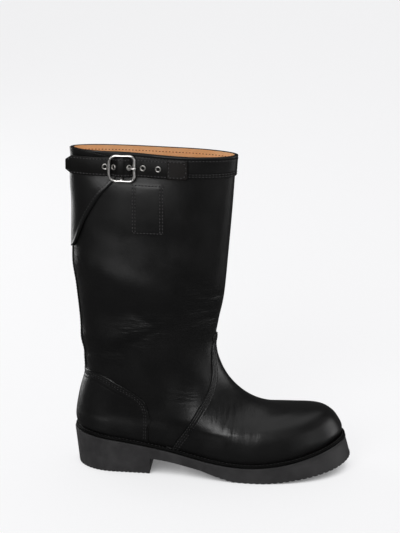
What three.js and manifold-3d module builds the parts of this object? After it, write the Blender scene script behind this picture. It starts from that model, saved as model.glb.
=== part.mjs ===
// Buckle boot for the right foot: a tall pull-on boot with a strap and a centre-bar buckle at its collar.
// Millimetres. X runs from the heel to the toe, Y to the inner side of the foot and Z up.
// The upper is one surface of rings, from the feather line at the sole to the collar. Its wall and
// every piece that lies on it are worked out from that surface.

import * as THREE from "three";
import { mergeVertices } from "three/addons/utils/BufferGeometryUtils.js";
import Module from "manifold-3d";

const wasm = await Module();
wasm.setup();

// Main sizes of the boot
const UPPER_LENGTH = 289; // heel end of the sole to the front of the upper's feather line
const BALL_HALF_WIDTH = 52; // feather line at the ball, on the outer side
const INSTEP_HEIGHT = 94; // floor to the instep at the front of the ankle
const HEEL_BACK_HEIGHT = 95; // floor to the hollow above the heel
const COLLAR_LENGTH = 177;
const COLLAR_FRONT_HEIGHT = 349;
const COLLAR_BACK_HEIGHT = 354;
const SHAFT_HALF_WIDTH = 33; // at the ankle
const TOE_SWING = 4; // how far the toe turns to the inner side
const TOE_TURN_FROM = 0.45; // share of the upper's length where it starts to turn

// Sole and feather line
const SEAT_HEIGHT = 43.8; // feather line at the back of the heel
const TOE_FEATHER_HEIGHT = 38.5; // feather line at the toe
const FEATHER_SAG = 20; // dip of the feather line under the ball, below a line from heel to toe
const SAG_SKEW = 1.55; // moves the lowest place of the dip towards the ball
const WELT_LEDGE = 5.6; // sole edge beyond the feather line
const WELT_THICKNESS = 3;
const WELT_INSET = 0.8; // edge of the welt inside the edge of the sole
const WELT_UNDER_UPPER = 2.9;
const HEEL_BREAST = 85; // back of the heel to its front face
const HEEL_TAPER = 3.4; // the heel's back face leans in by this at the floor
const TOE_FLARE = 7; // the sole's side leans out by this at the toe
const TOE_SPRING = 14;
const ARCH_HEIGHT = 17;
const BALL_SHARE = 0.6; // back of the flat under the ball, as a share of the sole's length
const FLOOR_EDGE_INSET = 1; // the sole's floor edge lies this far inside its top edge
const INSOLE_THICKNESS = 6;
const NOTCH_DEPTH = 1.8;
const NOTCH_LENGTH = 8;
const FOREFOOT_NOTCH_PITCH = 6.5;
const HEEL_NOTCH_PITCH = 4.7;
const NOTCHES_FROM = 0.53; // forefoot notches start at this share of the sole's length
const NOTCH_SHARE = 0.42; // width of a notch as a share of its pitch

// Leather
const WALL = 2.4; // upper with its lining
const GAP = 0.35; // between pieces that lie on each other
const OVERLAY = 1.6; // counter, collar band and wing
const STRIP_THICKNESS = 1.2; // back strip and vamp seam
const BACK_STRIP_WIDTH = 9;
const VAMP_SEAM_WIDTH = 5;
const BAND_HEIGHT = 22; // collar band
const PULL_STRAP_WIDTH = 28;
const PULL_STRAP_HEIGHT = 50;
const PULL_STRAP_THICKNESS = 2.4;
const PULL_STRAP_TOP = 33; // below the collar
const PULL_STRAP_AT = 0.47; // share of the collar's length, from the back

// Strap and buckle
const STRAP_WIDTH = 20;
const STRAP_THICKNESS = 2;
const STRAP_BELOW_BACK = 16.5; // middle of the strap below the collar's back
const STRAP_BELOW_FRONT = 11.5; // and below its front, so that the strap lies level
const STRAP_TIP_X = -2.5;
const STRAP_END_X = 125;
const TIP_LENGTH = 6; // the strap's tip narrows over this length
const TIP_SHARE = 0.55; // to this share of its width
const STRAP_LEAVES_X = 16; // behind this the strap runs straight on and stands off the shaft
const BUCKLE_X = 56;
const BUCKLE_LENGTH = 30; // outside, along the strap
const BUCKLE_HEIGHT = 30; // outside, across the strap
const BUCKLE_WIRE = 3.2;
const FRONT_CORNER = 3.5; // corner radii of the buckle, to the middle of its wire
const BACK_CORNER = 6.5;
const CENTRE_BAR = 2.6;
const CHAPE_THICKNESS = 1;
const CHAPE_WIDTH = 16;
const CHAPE_TAIL = 6; // from the centre bar back, between the wing and the strap
const PRONG_WIRE = 2;
const PRONG_BEND = 4; // length of the prong's lower and upper ends
const PRONG_EYE_WIRE = 1.2; // the prong is thinner where it is bent round the centre bar
const EYELET_PITCH = 16;
const EYELET_OUTER = 6.7;
const EYELET_BORE = 3.2;
const EYELET_FLANGE = 0.6;
const EYELET_WALL = 0.5;

// How finely the surface is divided
const AROUND = 32;
const FINE_RINGS = 9; // from the feather line to the ankle the rows are half a ring apart
const OUTLINE_POINTS = 56;
const WIRE_SIDES = 8;
const ROUND_SIDES = 12; // eyelets, and the loops round the centre bar
const CORNER_POINTS = 4; // in each rounded corner of the buckle
const PROFILE_STEPS = 18;
const SURFACE_STEP = 1e-4; // step for tangents, in surface parameters
const RINGS_PER_MM = 0.03; // step by which a place on the surface is found
const PLACE_ROUNDS = 60;
const NOTCH_SEARCH_POINTS = 720; // on the outline along which the notches are set

const COLOURS = {
  leather: new THREE.MeshStandardMaterial({ color: 0x1a1919, roughness: 0.42 }),
  strap: new THREE.MeshStandardMaterial({ color: 0x1c1b1b, roughness: 0.45 }),
  lining: new THREE.MeshStandardMaterial({ color: 0xb9773f, roughness: 0.7 }),
  welt: new THREE.MeshStandardMaterial({ color: 0x151515, roughness: 0.6 }),
  rubber: new THREE.MeshStandardMaterial({ color: 0x343334, roughness: 0.8 }),
  metal: new THREE.MeshStandardMaterial({ color: 0xc4c6c8, roughness: 0.22, metalness: 1 }),
};

// Half widths of the feather line, before its ends are rounded, along the upper's length.
// at is a share of UPPER_LENGTH, lateral and medial are shares of BALL_HALF_WIDTH.
const FOOT_OUTLINE = [
  { at: 0.0, lateral: 0.64, medial: 0.64 },
  { at: 0.15, lateral: 0.64, medial: 0.63 },
  { at: 0.3, lateral: 0.66, medial: 0.6 },
  { at: 0.38, lateral: 0.7, medial: 0.585 },
  { at: 0.46, lateral: 0.8, medial: 0.6 },
  { at: 0.53, lateral: 0.9, medial: 0.66 },
  { at: 0.6, lateral: 0.97, medial: 0.76 },
  { at: 0.68, lateral: 1.0, medial: 0.86 },
  { at: 0.77, lateral: 1.0, medial: 0.92 },
  { at: 1.0, lateral: 1.0, medial: 0.92 },
];

// Rings of the foot. backX and frontX are shares of UPPER_LENGTH. backZ is a share of the rise from the
// seat to HEEL_BACK_HEIGHT, and frontZ of the rise from the toe's feather line to INSTEP_HEIGHT.
// sag is a share of FEATHER_SAG. swell widens or narrows the foot outline, and foot is how much of
// that outline the ring keeps. lateral and medial are the shaft's half widths, as shares of
// SHAFT_HALF_WIDTH. The reaches are the shares of the ring that its round ends take, with their
// exponents, and pinch is how far the strap draws the outer side in, as a share of SHAFT_HALF_WIDTH.
const FOOT_RINGS = [
  { backX: 0.017, backZ: 0.0, frontX: 1.0, frontZ: 0.0, sag: 1.0, swell: 1.0, foot: 1.0,
    lateral: 1.1, medial: 1.1, backReach: 0.14, frontReach: 0.36, backRound: 2.0, frontRound: 2.15, pinch: 0 },
  { backX: 0.009, backZ: 0.06, frontX: 1.005, frontZ: 0.125, sag: 0.98, swell: 1.03, foot: 1.0,
    lateral: 1.1, medial: 1.1, backReach: 0.14, frontReach: 0.36, backRound: 2.0, frontRound: 2.15, pinch: 0 },
  { backX: 0.005, backZ: 0.15, frontX: 0.993, frontZ: 0.268, sag: 0.95, swell: 1.03, foot: 1.0,
    lateral: 1.1, medial: 1.1, backReach: 0.15, frontReach: 0.37, backRound: 2.0, frontRound: 2.15, pinch: 0 },
  { backX: 0.005, backZ: 0.26, frontX: 0.97, frontZ: 0.43, sag: 0.9, swell: 1.0, foot: 1.0,
    lateral: 1.1, medial: 1.1, backReach: 0.15, frontReach: 0.38, backRound: 2.0, frontRound: 2.15, pinch: 0 },
  { backX: 0.007, backZ: 0.36, frontX: 0.928, frontZ: 0.55, sag: 0.87, swell: 0.97, foot: 1.0,
    lateral: 1.1, medial: 1.1, backReach: 0.16, frontReach: 0.42, backRound: 2.0, frontRound: 2.15, pinch: 0 },
  { backX: 0.01, backZ: 0.47, frontX: 0.85, frontZ: 0.565, sag: 0.82, swell: 0.935, foot: 1.0,
    lateral: 1.1, medial: 1.1, backReach: 0.17, frontReach: 0.48, backRound: 2.0, frontRound: 2.1, pinch: 0 },
  { backX: 0.0155, backZ: 0.63, frontX: 0.752, frontZ: 0.57, sag: 0.74, swell: 0.91, foot: 0.95,
    lateral: 1.1, medial: 1.08, backReach: 0.2, frontReach: 0.53, backRound: 2.0, frontRound: 2.05, pinch: 0 },
  { backX: 0.0224, backZ: 0.8, frontX: 0.669, frontZ: 0.71, sag: 0.6, swell: 0.89, foot: 0.8,
    lateral: 1.09, medial: 1.07, backReach: 0.24, frontReach: 0.56, backRound: 2.0, frontRound: 2.0, pinch: 0 },
  { backX: 0.0325, backZ: 1.0, frontX: 0.6, frontZ: 0.99, sag: 0.42, swell: 0.87, foot: 0.5,
    lateral: 1.07, medial: 1.05, backReach: 0.3, frontReach: 0.58, backRound: 2.0, frontRound: 1.95, pinch: 0 },
];

// Rings of the shaft, with the same columns, but backX and frontX are shares of COLLAR_LENGTH, and
// backZ and frontZ of the rise from the ankle to the collar.
const SHAFT_RINGS = [
  { backX: 0.067, backZ: 0.05, frontX: 0.904, frontZ: 0.078, sag: 0.22, swell: 0.85, foot: 0.2,
    lateral: 1.04, medial: 1.02, backReach: 0.36, frontReach: 0.56, backRound: 2.0, frontRound: 1.95, pinch: 0 },
  { backX: 0.063, backZ: 0.112, frontX: 0.864, frontZ: 0.18, sag: 0.08, swell: 0.85, foot: 0.0,
    lateral: 1.0, medial: 1.0, backReach: 0.42, frontReach: 0.56, backRound: 2.0, frontRound: 2.0, pinch: 0 },
  { backX: 0.049, backZ: 0.205, frontX: 0.881, frontZ: 0.278, sag: 0.02, swell: 0.85, foot: 0.0,
    lateral: 0.99, medial: 0.99, backReach: 0.45, frontReach: 0.54, backRound: 2.0, frontRound: 2.0, pinch: 0 },
  { backX: 0.027, backZ: 0.382, frontX: 0.915, frontZ: 0.396, sag: 0.0, swell: 0.85, foot: 0.0,
    lateral: 0.98, medial: 0.98, backReach: 0.46, frontReach: 0.52, backRound: 2.0, frontRound: 2.0, pinch: 0 },
  { backX: 0.007, backZ: 0.579, frontX: 0.942, frontZ: 0.596, sag: 0.0, swell: 0.85, foot: 0.0,
    lateral: 0.94, medial: 0.92, backReach: 0.46, frontReach: 0.48, backRound: 2.0, frontRound: 2.0, pinch: 0.02 },
  { backX: 0.006, backZ: 0.772, frontX: 0.964, frontZ: 0.782, sag: 0.0, swell: 0.85, foot: 0.0,
    lateral: 0.84, medial: 0.78, backReach: 0.46, frontReach: 0.44, backRound: 2.0, frontRound: 2.0, pinch: 0.1 },
  { backX: 0.006, backZ: 0.907, frontX: 0.977, frontZ: 0.914, sag: 0.0, swell: 0.85, foot: 0.0,
    lateral: 0.72, medial: 0.6, backReach: 0.46, frontReach: 0.38, backRound: 2.0, frontRound: 2.0, pinch: 0.2 },
  { backX: 0.003, backZ: 1.0, frontX: 0.986, frontZ: 1.0, sag: 0.0, swell: 0.85, foot: 0.0,
    lateral: 0.66, medial: 0.5, backReach: 0.45, frontReach: 0.34, backRound: 2.0, frontRound: 2.0, pinch: 0.22 },
];
// Eyelets along the strap, in pitches from the middle of the buckle. The third holds the prong.
const EYELETS = [{ at: -1.12 }, { at: -0.42 }, { at: 0.43 }, { at: 1.44 }, { at: 2.45 }];
const PRONG_EYELET = 2;
const PINCH_AT = 0.34; // place of the pinch along the ring
const PINCH_SPREAD = 0.2;

// Underside of the sole: x is a share of the sole's length, z of ARCH_HEIGHT or, past the ball, of TOE_SPRING.
const ARCH_LINE = [
  { x: 0.297, z: 1.0 },
  { x: 0.37, z: 0.83 },
  { x: 0.47, z: 0.55 },
  { x: 0.53, z: 0.24 },
  { x: 0.58, z: 0.03 },
  { x: BALL_SHARE, z: 0.0 },
];
const SPRING_LINE = [
  { x: 0.7, z: 0.0 },
  { x: 0.76, z: 0.1 },
  { x: 0.82, z: 0.25 },
  { x: 0.88, z: 0.43 },
  { x: 0.94, z: 0.66 },
  { x: 1.0, z: 1.0 },
];

// Outlines of the overlays in the side view, x as shares of COLLAR_LENGTH and z of INSTEP_HEIGHT.
const COUNTER_EDGE = [
  { x: -0.1, z: 1.145 },
  { x: 0.06, z: 1.145 },
  { x: 0.13, z: 1.16 },
  { x: 0.2, z: 1.135 },
  { x: 0.3, z: 1.045 },
  { x: 0.38, z: 0.96 },
  { x: 0.425, z: 0.895 },
  { x: 0.455, z: 0.82 },
  { x: 0.47, z: 0.72 },
  { x: 0.473, z: 0.55 },
  { x: 0.47, z: 0.2 },
  { x: -0.1, z: 0.2 },
];
const VAMP_SEAM_LINE = [
  { x: 0.95, z: 1.6 },
  { x: 0.875, z: 1.58 },
  { x: 0.85, z: 1.48 },
  { x: 0.845, z: 1.3 },
  { x: 0.846, z: 1.14 },
  { x: 0.824, z: 0.97 },
  { x: 0.772, z: 0.79 },
  { x: 0.71, z: 0.585 },
  { x: 0.65, z: 0.43 },
  { x: 0.6, z: 0.28 },
];
// Wing, x as shares of COLLAR_LENGTH and depth below the collar, as shares of WING_DROP.
const WING_DROP = 108;
const WING_CENTRE = { x: 0.1, drop: 0.3 };
const WING_OUTLINE = [
  { x: -0.08, drop: -0.06 },
  { x: 0.05, drop: -0.06 },
  { x: 0.1, drop: -0.015 },
  { x: 0.17, drop: 0.02 },
  { x: 0.235, drop: 0.045 },
  { x: 0.28, drop: 0.09 },
  { x: 0.29, drop: 0.17 },
  { x: 0.275, drop: 0.26 },
  { x: 0.232, drop: 0.35 },
  { x: 0.185, drop: 0.44 },
  { x: 0.14, drop: 0.555 },
  { x: 0.093, drop: 0.7 },
  { x: 0.06, drop: 0.84 },
  { x: 0.03, drop: 0.96 },
  { x: 0.01, drop: 1.0 },
  { x: -0.08, drop: 1.02 },
];

// A smooth curve through table rows: the value of one column at a place along another.
function smoothAt(rows, place, column, at) {
  const last = rows.length - 1;
  const where = Math.min(Math.max(at, rows[0][place]), rows[last][place]);
  let i = 0;
  while (i < last - 1 && where > rows[i + 1][place]) i += 1;
  const slope = (k) => {
    const before = rows[Math.max(k - 1, 0)];
    const after = rows[Math.min(k + 1, last)];
    return (after[column] - before[column]) / (after[place] - before[place]);
  };
  const span = rows[i + 1][place] - rows[i][place];
  const s = (where - rows[i][place]) / span;
  const rise = s * s * (3 - 2 * s);
  const start = s * (1 - s) * (1 - s) * span;
  const end = s * s * (s - 1) * span;
  return rows[i][column] * (1 - rise) + rows[i + 1][column] * rise + slope(i) * start + slope(i + 1) * end;
}

// The rings in millimetres, numbered from the feather line up.
const RINGS = [
  ...FOOT_RINGS.map((row) => ({
    ...row,
    backX: row.backX * UPPER_LENGTH,
    frontX: row.frontX * UPPER_LENGTH,
    backZ: SEAT_HEIGHT + row.backZ * (HEEL_BACK_HEIGHT - SEAT_HEIGHT),
    frontZ: TOE_FEATHER_HEIGHT + row.frontZ * (INSTEP_HEIGHT - TOE_FEATHER_HEIGHT),
  })),
  ...SHAFT_RINGS.map((row) => ({
    ...row,
    backX: row.backX * COLLAR_LENGTH,
    frontX: row.frontX * COLLAR_LENGTH,
    backZ: HEEL_BACK_HEIGHT + row.backZ * (COLLAR_BACK_HEIGHT - HEEL_BACK_HEIGHT),
    frontZ: INSTEP_HEIGHT + row.frontZ * (COLLAR_FRONT_HEIGHT - INSTEP_HEIGHT),
  })),
].map((row, ring) => ({
  ...row,
  ring,
  sag: row.sag * FEATHER_SAG,
  lateral: row.lateral * SHAFT_HALF_WIDTH,
  medial: row.medial * SHAFT_HALF_WIDTH,
  pinch: row.pinch * SHAFT_HALF_WIDTH,
}));
const COLLAR_RING = RINGS.length - 1;
const RING_COLUMNS = Object.keys(RINGS[0]).filter((column) => column !== "ring");

function ringAt(height) {
  return Object.fromEntries(
    RING_COLUMNS.map((column) => [column, smoothAt(RINGS, "ring", column, height)]),
  );
}

// 1 in the middle of a ring, rounded down to 0 at its back and front ends.
function endRounding(ring, along) {
  const back = Math.max(0, 1 - along / ring.backReach);
  const front = Math.max(0, 1 - (1 - along) / ring.frontReach);
  const backShare = Math.max(0, 1 - back ** ring.backRound) ** (1 / ring.backRound);
  const frontShare = Math.max(0, 1 - front ** ring.frontRound) ** (1 / ring.frontRound);
  return backShare * frontShare;
}

function footHalfWidth(x, side) {
  return smoothAt(FOOT_OUTLINE, "at", side, x / UPPER_LENGTH) * BALL_HALF_WIDTH;
}

// The foot's middle line bends to the inner side towards the toe.
function middleLine(x) {
  const share = Math.min(Math.max((x / UPPER_LENGTH - TOE_TURN_FROM) / (1 - TOE_TURN_FROM), 0), 1);
  return TOE_SWING * share * share;
}

function sagShape(along) {
  return Math.sin(Math.PI * Math.min(Math.max(along, 0), 1) ** SAG_SKEW);
}

// A point of the upper's outer surface. turn runs from the front over the outer side to the back at
// one half, and over the inner side to the front again. height counts rings up from the feather line.
function surfacePoint(turn, height) {
  const ring = ringAt(height);
  const side = turn < 0.5 ? "lateral" : "medial";
  const away = turn < 0.5 ? -1 : 1;
  const along = (1 + Math.cos(2 * Math.PI * turn)) / 2;
  const x = ring.backX + along * (ring.frontX - ring.backX);
  const z = ring.backZ + along * (ring.frontZ - ring.backZ) - ring.sag * sagShape(along);
  const footWidth = footHalfWidth(x, side) * ring.swell;
  const pinch = turn < 0.5 ? ring.pinch * Math.exp(-(((along - PINCH_AT) / PINCH_SPREAD) ** 2)) : 0;
  const half = ring.foot * footWidth + (1 - ring.foot) * ring[side] - pinch;
  return new THREE.Vector3(x, middleLine(x) + away * half * endRounding(ring, along), z + GAP);
}

function surfaceNormal(turn, height) {
  const low = Math.max(height - SURFACE_STEP, 0);
  const high = Math.min(height + SURFACE_STEP, COLLAR_RING);
  const up = surfacePoint(turn, high).sub(surfacePoint(turn, low));
  const before = (turn - SURFACE_STEP + 1) % 1;
  const after = (turn + SURFACE_STEP) % 1;
  const around = surfacePoint(after, height).sub(surfacePoint(before, height));
  return up.cross(around).normalize();
}

// A point at a distance from the outer surface. At the feather line and the collar it moves level,
// so that the wall's edges stay flat.
function offsetPoint(turn, height, distance) {
  const normal = surfaceNormal(turn, height);
  if (height <= 0 || height >= COLLAR_RING) normal.setZ(0).normalize();
  return surfacePoint(turn, height).addScaledVector(normal, distance);
}

// The place on one side of the surface that has a given x and z.
function placeOnSide(x, z, side) {
  let height = COLLAR_RING / 2;
  let along = 0.5;
  for (let round = 0; round < PLACE_ROUNDS; round += 1) {
    const ring = ringAt(height);
    along = Math.min(Math.max((x - ring.backX) / (ring.frontX - ring.backX), 0), 1);
    const here = ring.backZ + along * (ring.frontZ - ring.backZ) - ring.sag * sagShape(along);
    height = Math.min(Math.max(height + (z - here) * RINGS_PER_MM, 0), COLLAR_RING);
  }
  const turn = Math.acos(2 * along - 1) / (2 * Math.PI);
  return { turn: side === "lateral" ? turn : 1 - turn, height };
}

function collarZ(x) {
  return COLLAR_BACK_HEIGHT + (x / COLLAR_LENGTH) * (COLLAR_FRONT_HEIGHT - COLLAR_BACK_HEIGHT);
}

// Height of the feather line over a place along the foot.
function featherZ(x) {
  const start = RINGS[0].backX;
  const along = Math.min(Math.max((x - start) / (RINGS[0].frontX - start), 0), 1);
  const line = RINGS[0].backZ + along * (RINGS[0].frontZ - RINGS[0].backZ);
  return line - RINGS[0].sag * sagShape(along);
}

// Geometry from points and triangles, turned so that its faces point outwards.
function outwardGeometry(points, faces) {
  const volume = faces.reduce((sum, [a, b, c]) => {
    const normal = new THREE.Vector3().crossVectors(points[b], points[c]);
    return sum + points[a].dot(normal);
  }, 0);
  const outward = volume < 0 ? faces.map(([a, b, c]) => [a, c, b]) : faces;
  const geometry = new THREE.BufferGeometry();
  geometry.setAttribute("position", new THREE.Float32BufferAttribute(points.flatMap((p) => p.toArray()), 3));
  geometry.setIndex(outward.flat());
  return geometry;
}

// Geometry from a list of closed loops with as many points each. The last loop joins the first, or
// both end loops are closed with a fan. From the place turnFrom in each loop the squares are split
// along their other diagonal.
function lattice(loops, closed, turnFrom = Infinity) {
  const size = loops[0].length;
  const points = loops.flat();
  const faces = [];
  const spans = closed ? loops.length : loops.length - 1;
  for (let i = 0; i < spans; i += 1) {
    const next = (i + 1) % loops.length;
    for (let j = 0; j < size; j += 1) {
      const k = (j + 1) % size;
      const [a, b, c, d] = [i * size + j, next * size + j, next * size + k, i * size + k];
      if (j < turnFrom) faces.push([a, b, c], [a, c, d]);
      else faces.push([a, b, d], [b, c, d]);
    }
  }
  if (!closed) {
    const end = (loops.length - 1) * size;
    for (let j = 1; j < size - 1; j += 1) {
      faces.push([0, j, j + 1], [end, end + j + 1, end + j]);
    }
  }
  return outwardGeometry(points, faces);
}

function toSolid(geometry) {
  const bare = geometry.clone();
  bare.deleteAttribute("normal");
  bare.deleteAttribute("uv");
  const merged = mergeVertices(bare, 1e-4);
  const vertProperties = new Float32Array(merged.attributes.position.array);
  const triVerts = new Uint32Array(merged.index.array);
  return new wasm.Manifold(new wasm.Mesh({ numProp: 3, vertProperties, triVerts }));
}

function toGeometry(solid) {
  const mesh = solid.getMesh();
  const geometry = new THREE.BufferGeometry();
  geometry.setAttribute("position", new THREE.Float32BufferAttribute(mesh.vertProperties, 3));
  geometry.setIndex(Array.from(mesh.triVerts));
  return geometry;
}

function joined(solids) {
  return solids.reduce((all, solid) => all.add(solid));
}

// A prism across the boot, drawn in the side view as pairs of x and z.
function sidePrism(outline, fromY, toY) {
  const shape = new THREE.Shape(outline.map(([x, z]) => new THREE.Vector2(x, z)));
  const geometry = new THREE.ExtrudeGeometry(shape, { depth: toY - fromY, bevelEnabled: false });
  geometry.rotateX(Math.PI / 2);
  geometry.translate(0, toY, 0);
  return toSolid(geometry);
}

// The layer between two distances from the upper's surface, all the way round.
function surfaceLayer(inner, outer) {
  const fine = Array.from({ length: FINE_RINGS * 2 }, (_, row) => row / 2);
  const coarse = Array.from({ length: COLLAR_RING - FINE_RINGS + 1 }, (_, row) => FINE_RINGS + row);
  const rows = [...fine, ...coarse];
  const loops = Array.from({ length: AROUND }, (_, place) => {
    const turn = place / AROUND;
    const outside = rows.map((height) => offsetPoint(turn, height, outer));
    const inside = rows.map((height) => offsetPoint(turn, height, inner)).reverse();
    return [...outside, ...inside];
  });
  return lattice(loops, true, rows.length);
}

// A round wire along points that lie in one plane, which the direction across is square to.
function wire(points, radius, across, closed) {
  const count = points.length;
  const loops = points.map((point, i) => {
    const before = points[closed ? (i - 1 + count) % count : Math.max(i - 1, 0)];
    const after = points[closed ? (i + 1) % count : Math.min(i + 1, count - 1)];
    const forward = after.clone().sub(before).normalize();
    const third = new THREE.Vector3().crossVectors(forward, across);
    return Array.from({ length: WIRE_SIDES }, (_, k) => {
      const angle = ((k + 0.5) / WIRE_SIDES) * 2 * Math.PI;
      const edge = point.clone().addScaledVector(across, radius * Math.cos(angle));
      return edge.addScaledVector(third, radius * Math.sin(angle));
    });
  });
  return toSolid(lattice(loops, closed));
}

// Sole, welt and insole

// The feather outline in plan, anticlockwise, moved out by a distance, as points of x and y.
function soleOutline(distanceAt, count = OUTLINE_POINTS) {
  const plan = (turn) => {
    const point = surfacePoint(turn, 0);
    return new THREE.Vector2(point.x, point.y);
  };
  return Array.from({ length: count }, (_, i) => {
    const turn = i / count;
    const after = plan((turn + SURFACE_STEP) % 1);
    const before = plan((turn - SURFACE_STEP + 1) % 1);
    const along = after.sub(before).normalize();
    const here = plan(turn);
    return here.add(new THREE.Vector2(-along.y, along.x).multiplyScalar(distanceAt(here.x)));
  }).reverse();
}

const SOLE_LENGTH = UPPER_LENGTH + WELT_LEDGE + TOE_FLARE;

// How far the sole's side leans out at the floor: in round the heel, out from the ball to the toe.
function soleLean(x) {
  const share = Math.min(Math.max(x / SOLE_LENGTH, 0), 1);
  const heel = Math.max(0, 1 - x / HEEL_BREAST);
  const toe = Math.max(0, (share - BALL_SHARE) / (1 - BALL_SHARE));
  return TOE_FLARE * toe - HEEL_TAPER * heel * heel - FLOOR_EDGE_INSET;
}

function soleUnderside() {
  const arch = ARCH_LINE.map((row) => [row.x * SOLE_LENGTH, row.z * ARCH_HEIGHT]);
  const spring = SPRING_LINE.map((row) => [row.x * SOLE_LENGTH, row.z * TOE_SPRING]);
  return [[-WELT_LEDGE * 2, 0], [HEEL_BREAST, 0], ...arch, ...spring, [SOLE_LENGTH + WELT_LEDGE, TOE_SPRING]];
}

function undersideZ(x) {
  const line = soleUnderside();
  const i = Math.max(1, line.findIndex(([place]) => place >= x));
  const [[x0, z0], [x1, z1]] = [line[i - 1], line[i]];
  return z0 + ((x - x0) / (x1 - x0)) * (z1 - z0);
}

// The feather line moved down by a depth, from heel to toe, as pairs of x and z.
function featherLine(depth, steps = PROFILE_STEPS) {
  const from = -WELT_LEDGE * 2;
  const to = SOLE_LENGTH + WELT_LEDGE;
  return Array.from({ length: steps + 1 }, (_, i) => {
    const x = from + (i / steps) * (to - from);
    return [x, featherZ(x) - depth];
  });
}

// A column that stands on one outline and reaches another, from a low to a high level.
function column(lowOutline, highOutline, low, high) {
  const loop = (outline, z) => outline.map((p) => new THREE.Vector3(p.x, p.y, z));
  const count = lowOutline.length;
  const points = [...loop(lowOutline, low), ...loop(highOutline, high)];
  const faces = [];
  for (let i = 0; i < count; i += 1) {
    const next = (i + 1) % count;
    faces.push([i, next, count + next], [i, count + next, count + i]);
  }
  const cap = THREE.ShapeUtils.triangulateShape(lowOutline, []);
  cap.forEach(([a, b, c]) => faces.push([a, c, b], [count + a, count + b, count + c]));
  return toSolid(outwardGeometry(points, faces));
}

const WIDE = BALL_HALF_WIDTH * 2;
const TALL = COLLAR_BACK_HEIGHT * 2;

// Cuts along the floor edge of the sole, one at each pitch.
function edgeNotches() {
  const outline = soleOutline((x) => WELT_LEDGE + soleLean(x), NOTCH_SEARCH_POINTS);
  const notches = [];
  let walked = 0;
  for (let i = 1; i < outline.length; i += 1) {
    const here = outline[i];
    const step = here.clone().sub(outline[i - 1]);
    walked += step.length();
    const onHeel = here.x < HEEL_BREAST - HEEL_NOTCH_PITCH;
    const onForefoot = here.x > NOTCHES_FROM * SOLE_LENGTH;
    const pitch = onHeel ? HEEL_NOTCH_PITCH : FOREFOOT_NOTCH_PITCH;
    if (walked < pitch) continue;
    walked = 0;
    if (!onHeel && !onForefoot) continue;
    const notch = new THREE.BoxGeometry(NOTCH_LENGTH, pitch * NOTCH_SHARE, NOTCH_DEPTH * 2);
    const slope = (undersideZ(here.x + 1) - undersideZ(here.x - 1)) / 2;
    notch.rotateZ(Math.atan2(step.y, step.x) + Math.PI / 2);
    notch.rotateY(-Math.atan(slope));
    notch.translate(here.x, here.y, undersideZ(here.x));
    notches.push(toSolid(notch));
  }
  return joined(notches);
}

function outsole() {
  const edge = (x) => WELT_LEDGE + soleLean(x);
  const block = column(soleOutline(edge), soleOutline(() => WELT_LEDGE), 0, SEAT_HEIGHT);
  const top = featherLine(WELT_THICKNESS + GAP).reverse();
  const side = sidePrism([...soleUnderside(), ...top], -WIDE, WIDE);
  return block.intersect(side).subtract(edgeNotches());
}

// A plate with the feather outline moved by two distances, between two depths below the feather line.
function featherPlate(distance, depth, thickness) {
  const outline = soleOutline(() => distance);
  const side = sidePrism(
    [...featherLine(depth + thickness), ...featherLine(depth).reverse()],
    -WIDE,
    WIDE,
  );
  return column(outline, outline, -SEAT_HEIGHT, 2 * SEAT_HEIGHT).intersect(side);
}

function welt() {
  const inside = soleOutline(() => -WELT_UNDER_UPPER);
  const hole = column(inside, inside, -SEAT_HEIGHT, 2 * SEAT_HEIGHT);
  return featherPlate(WELT_LEDGE - WELT_INSET, 0, WELT_THICKNESS).subtract(hole);
}

function insole() {
  return featherPlate(-WELT_UNDER_UPPER - GAP, WELT_THICKNESS - INSOLE_THICKNESS, INSOLE_THICKNESS);
}

// Pieces that lie on the upper

function sideOutline(rows) {
  return rows.map((row) => [row.x * COLLAR_LENGTH, row.z * INSTEP_HEIGHT]);
}

const overlayLayer = toSolid(surfaceLayer(GAP, GAP + OVERLAY));
const stripLayer = toSolid(surfaceLayer(GAP, GAP + STRIP_THICKNESS));

function counter() {
  return overlayLayer.intersect(sidePrism(sideOutline(COUNTER_EDGE), -WIDE, WIDE));
}

// A band of even width along the seam line, seen from the side.
function vampSeam() {
  const line = sideOutline(VAMP_SEAM_LINE).map(([x, z]) => new THREE.Vector2(x, z));
  const shifted = (distance) =>
    line.map((point, i) => {
      const before = line[Math.max(i - 1, 0)];
      const after = line[Math.min(i + 1, line.length - 1)];
      const along = after.clone().sub(before).normalize();
      return [point.x - along.y * distance, point.y + along.x * distance];
    });
  const band = [...shifted(0), ...shifted(VAMP_SEAM_WIDTH).reverse()];
  return stripLayer.intersect(sidePrism(band, -WIDE, WIDE));
}

function wingOutline(grow) {
  const centre = { x: WING_CENTRE.x * COLLAR_LENGTH, drop: WING_CENTRE.drop * WING_DROP };
  return WING_OUTLINE.map((row) => {
    const x = row.x * COLLAR_LENGTH;
    const drop = row.drop * WING_DROP;
    const away = new THREE.Vector2(x - centre.x, drop - centre.drop);
    away.setLength(away.length() + grow);
    return [centre.x + away.x, collarZ(centre.x + away.x) - centre.drop - away.y];
  });
}

const wingSide = -BACK_STRIP_WIDTH / 2 - GAP;

function wing() {
  return overlayLayer.intersect(sidePrism(wingOutline(0), -WIDE, wingSide));
}

function backStrip() {
  const low = COUNTER_EDGE[0].z * INSTEP_HEIGHT + GAP;
  const middle = COLLAR_LENGTH / 2;
  const box = [[-middle, low], [middle, low], [middle, TALL], [-middle, TALL]];
  return stripLayer.intersect(sidePrism(box, -BACK_STRIP_WIDTH / 2, BACK_STRIP_WIDTH / 2));
}

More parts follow.
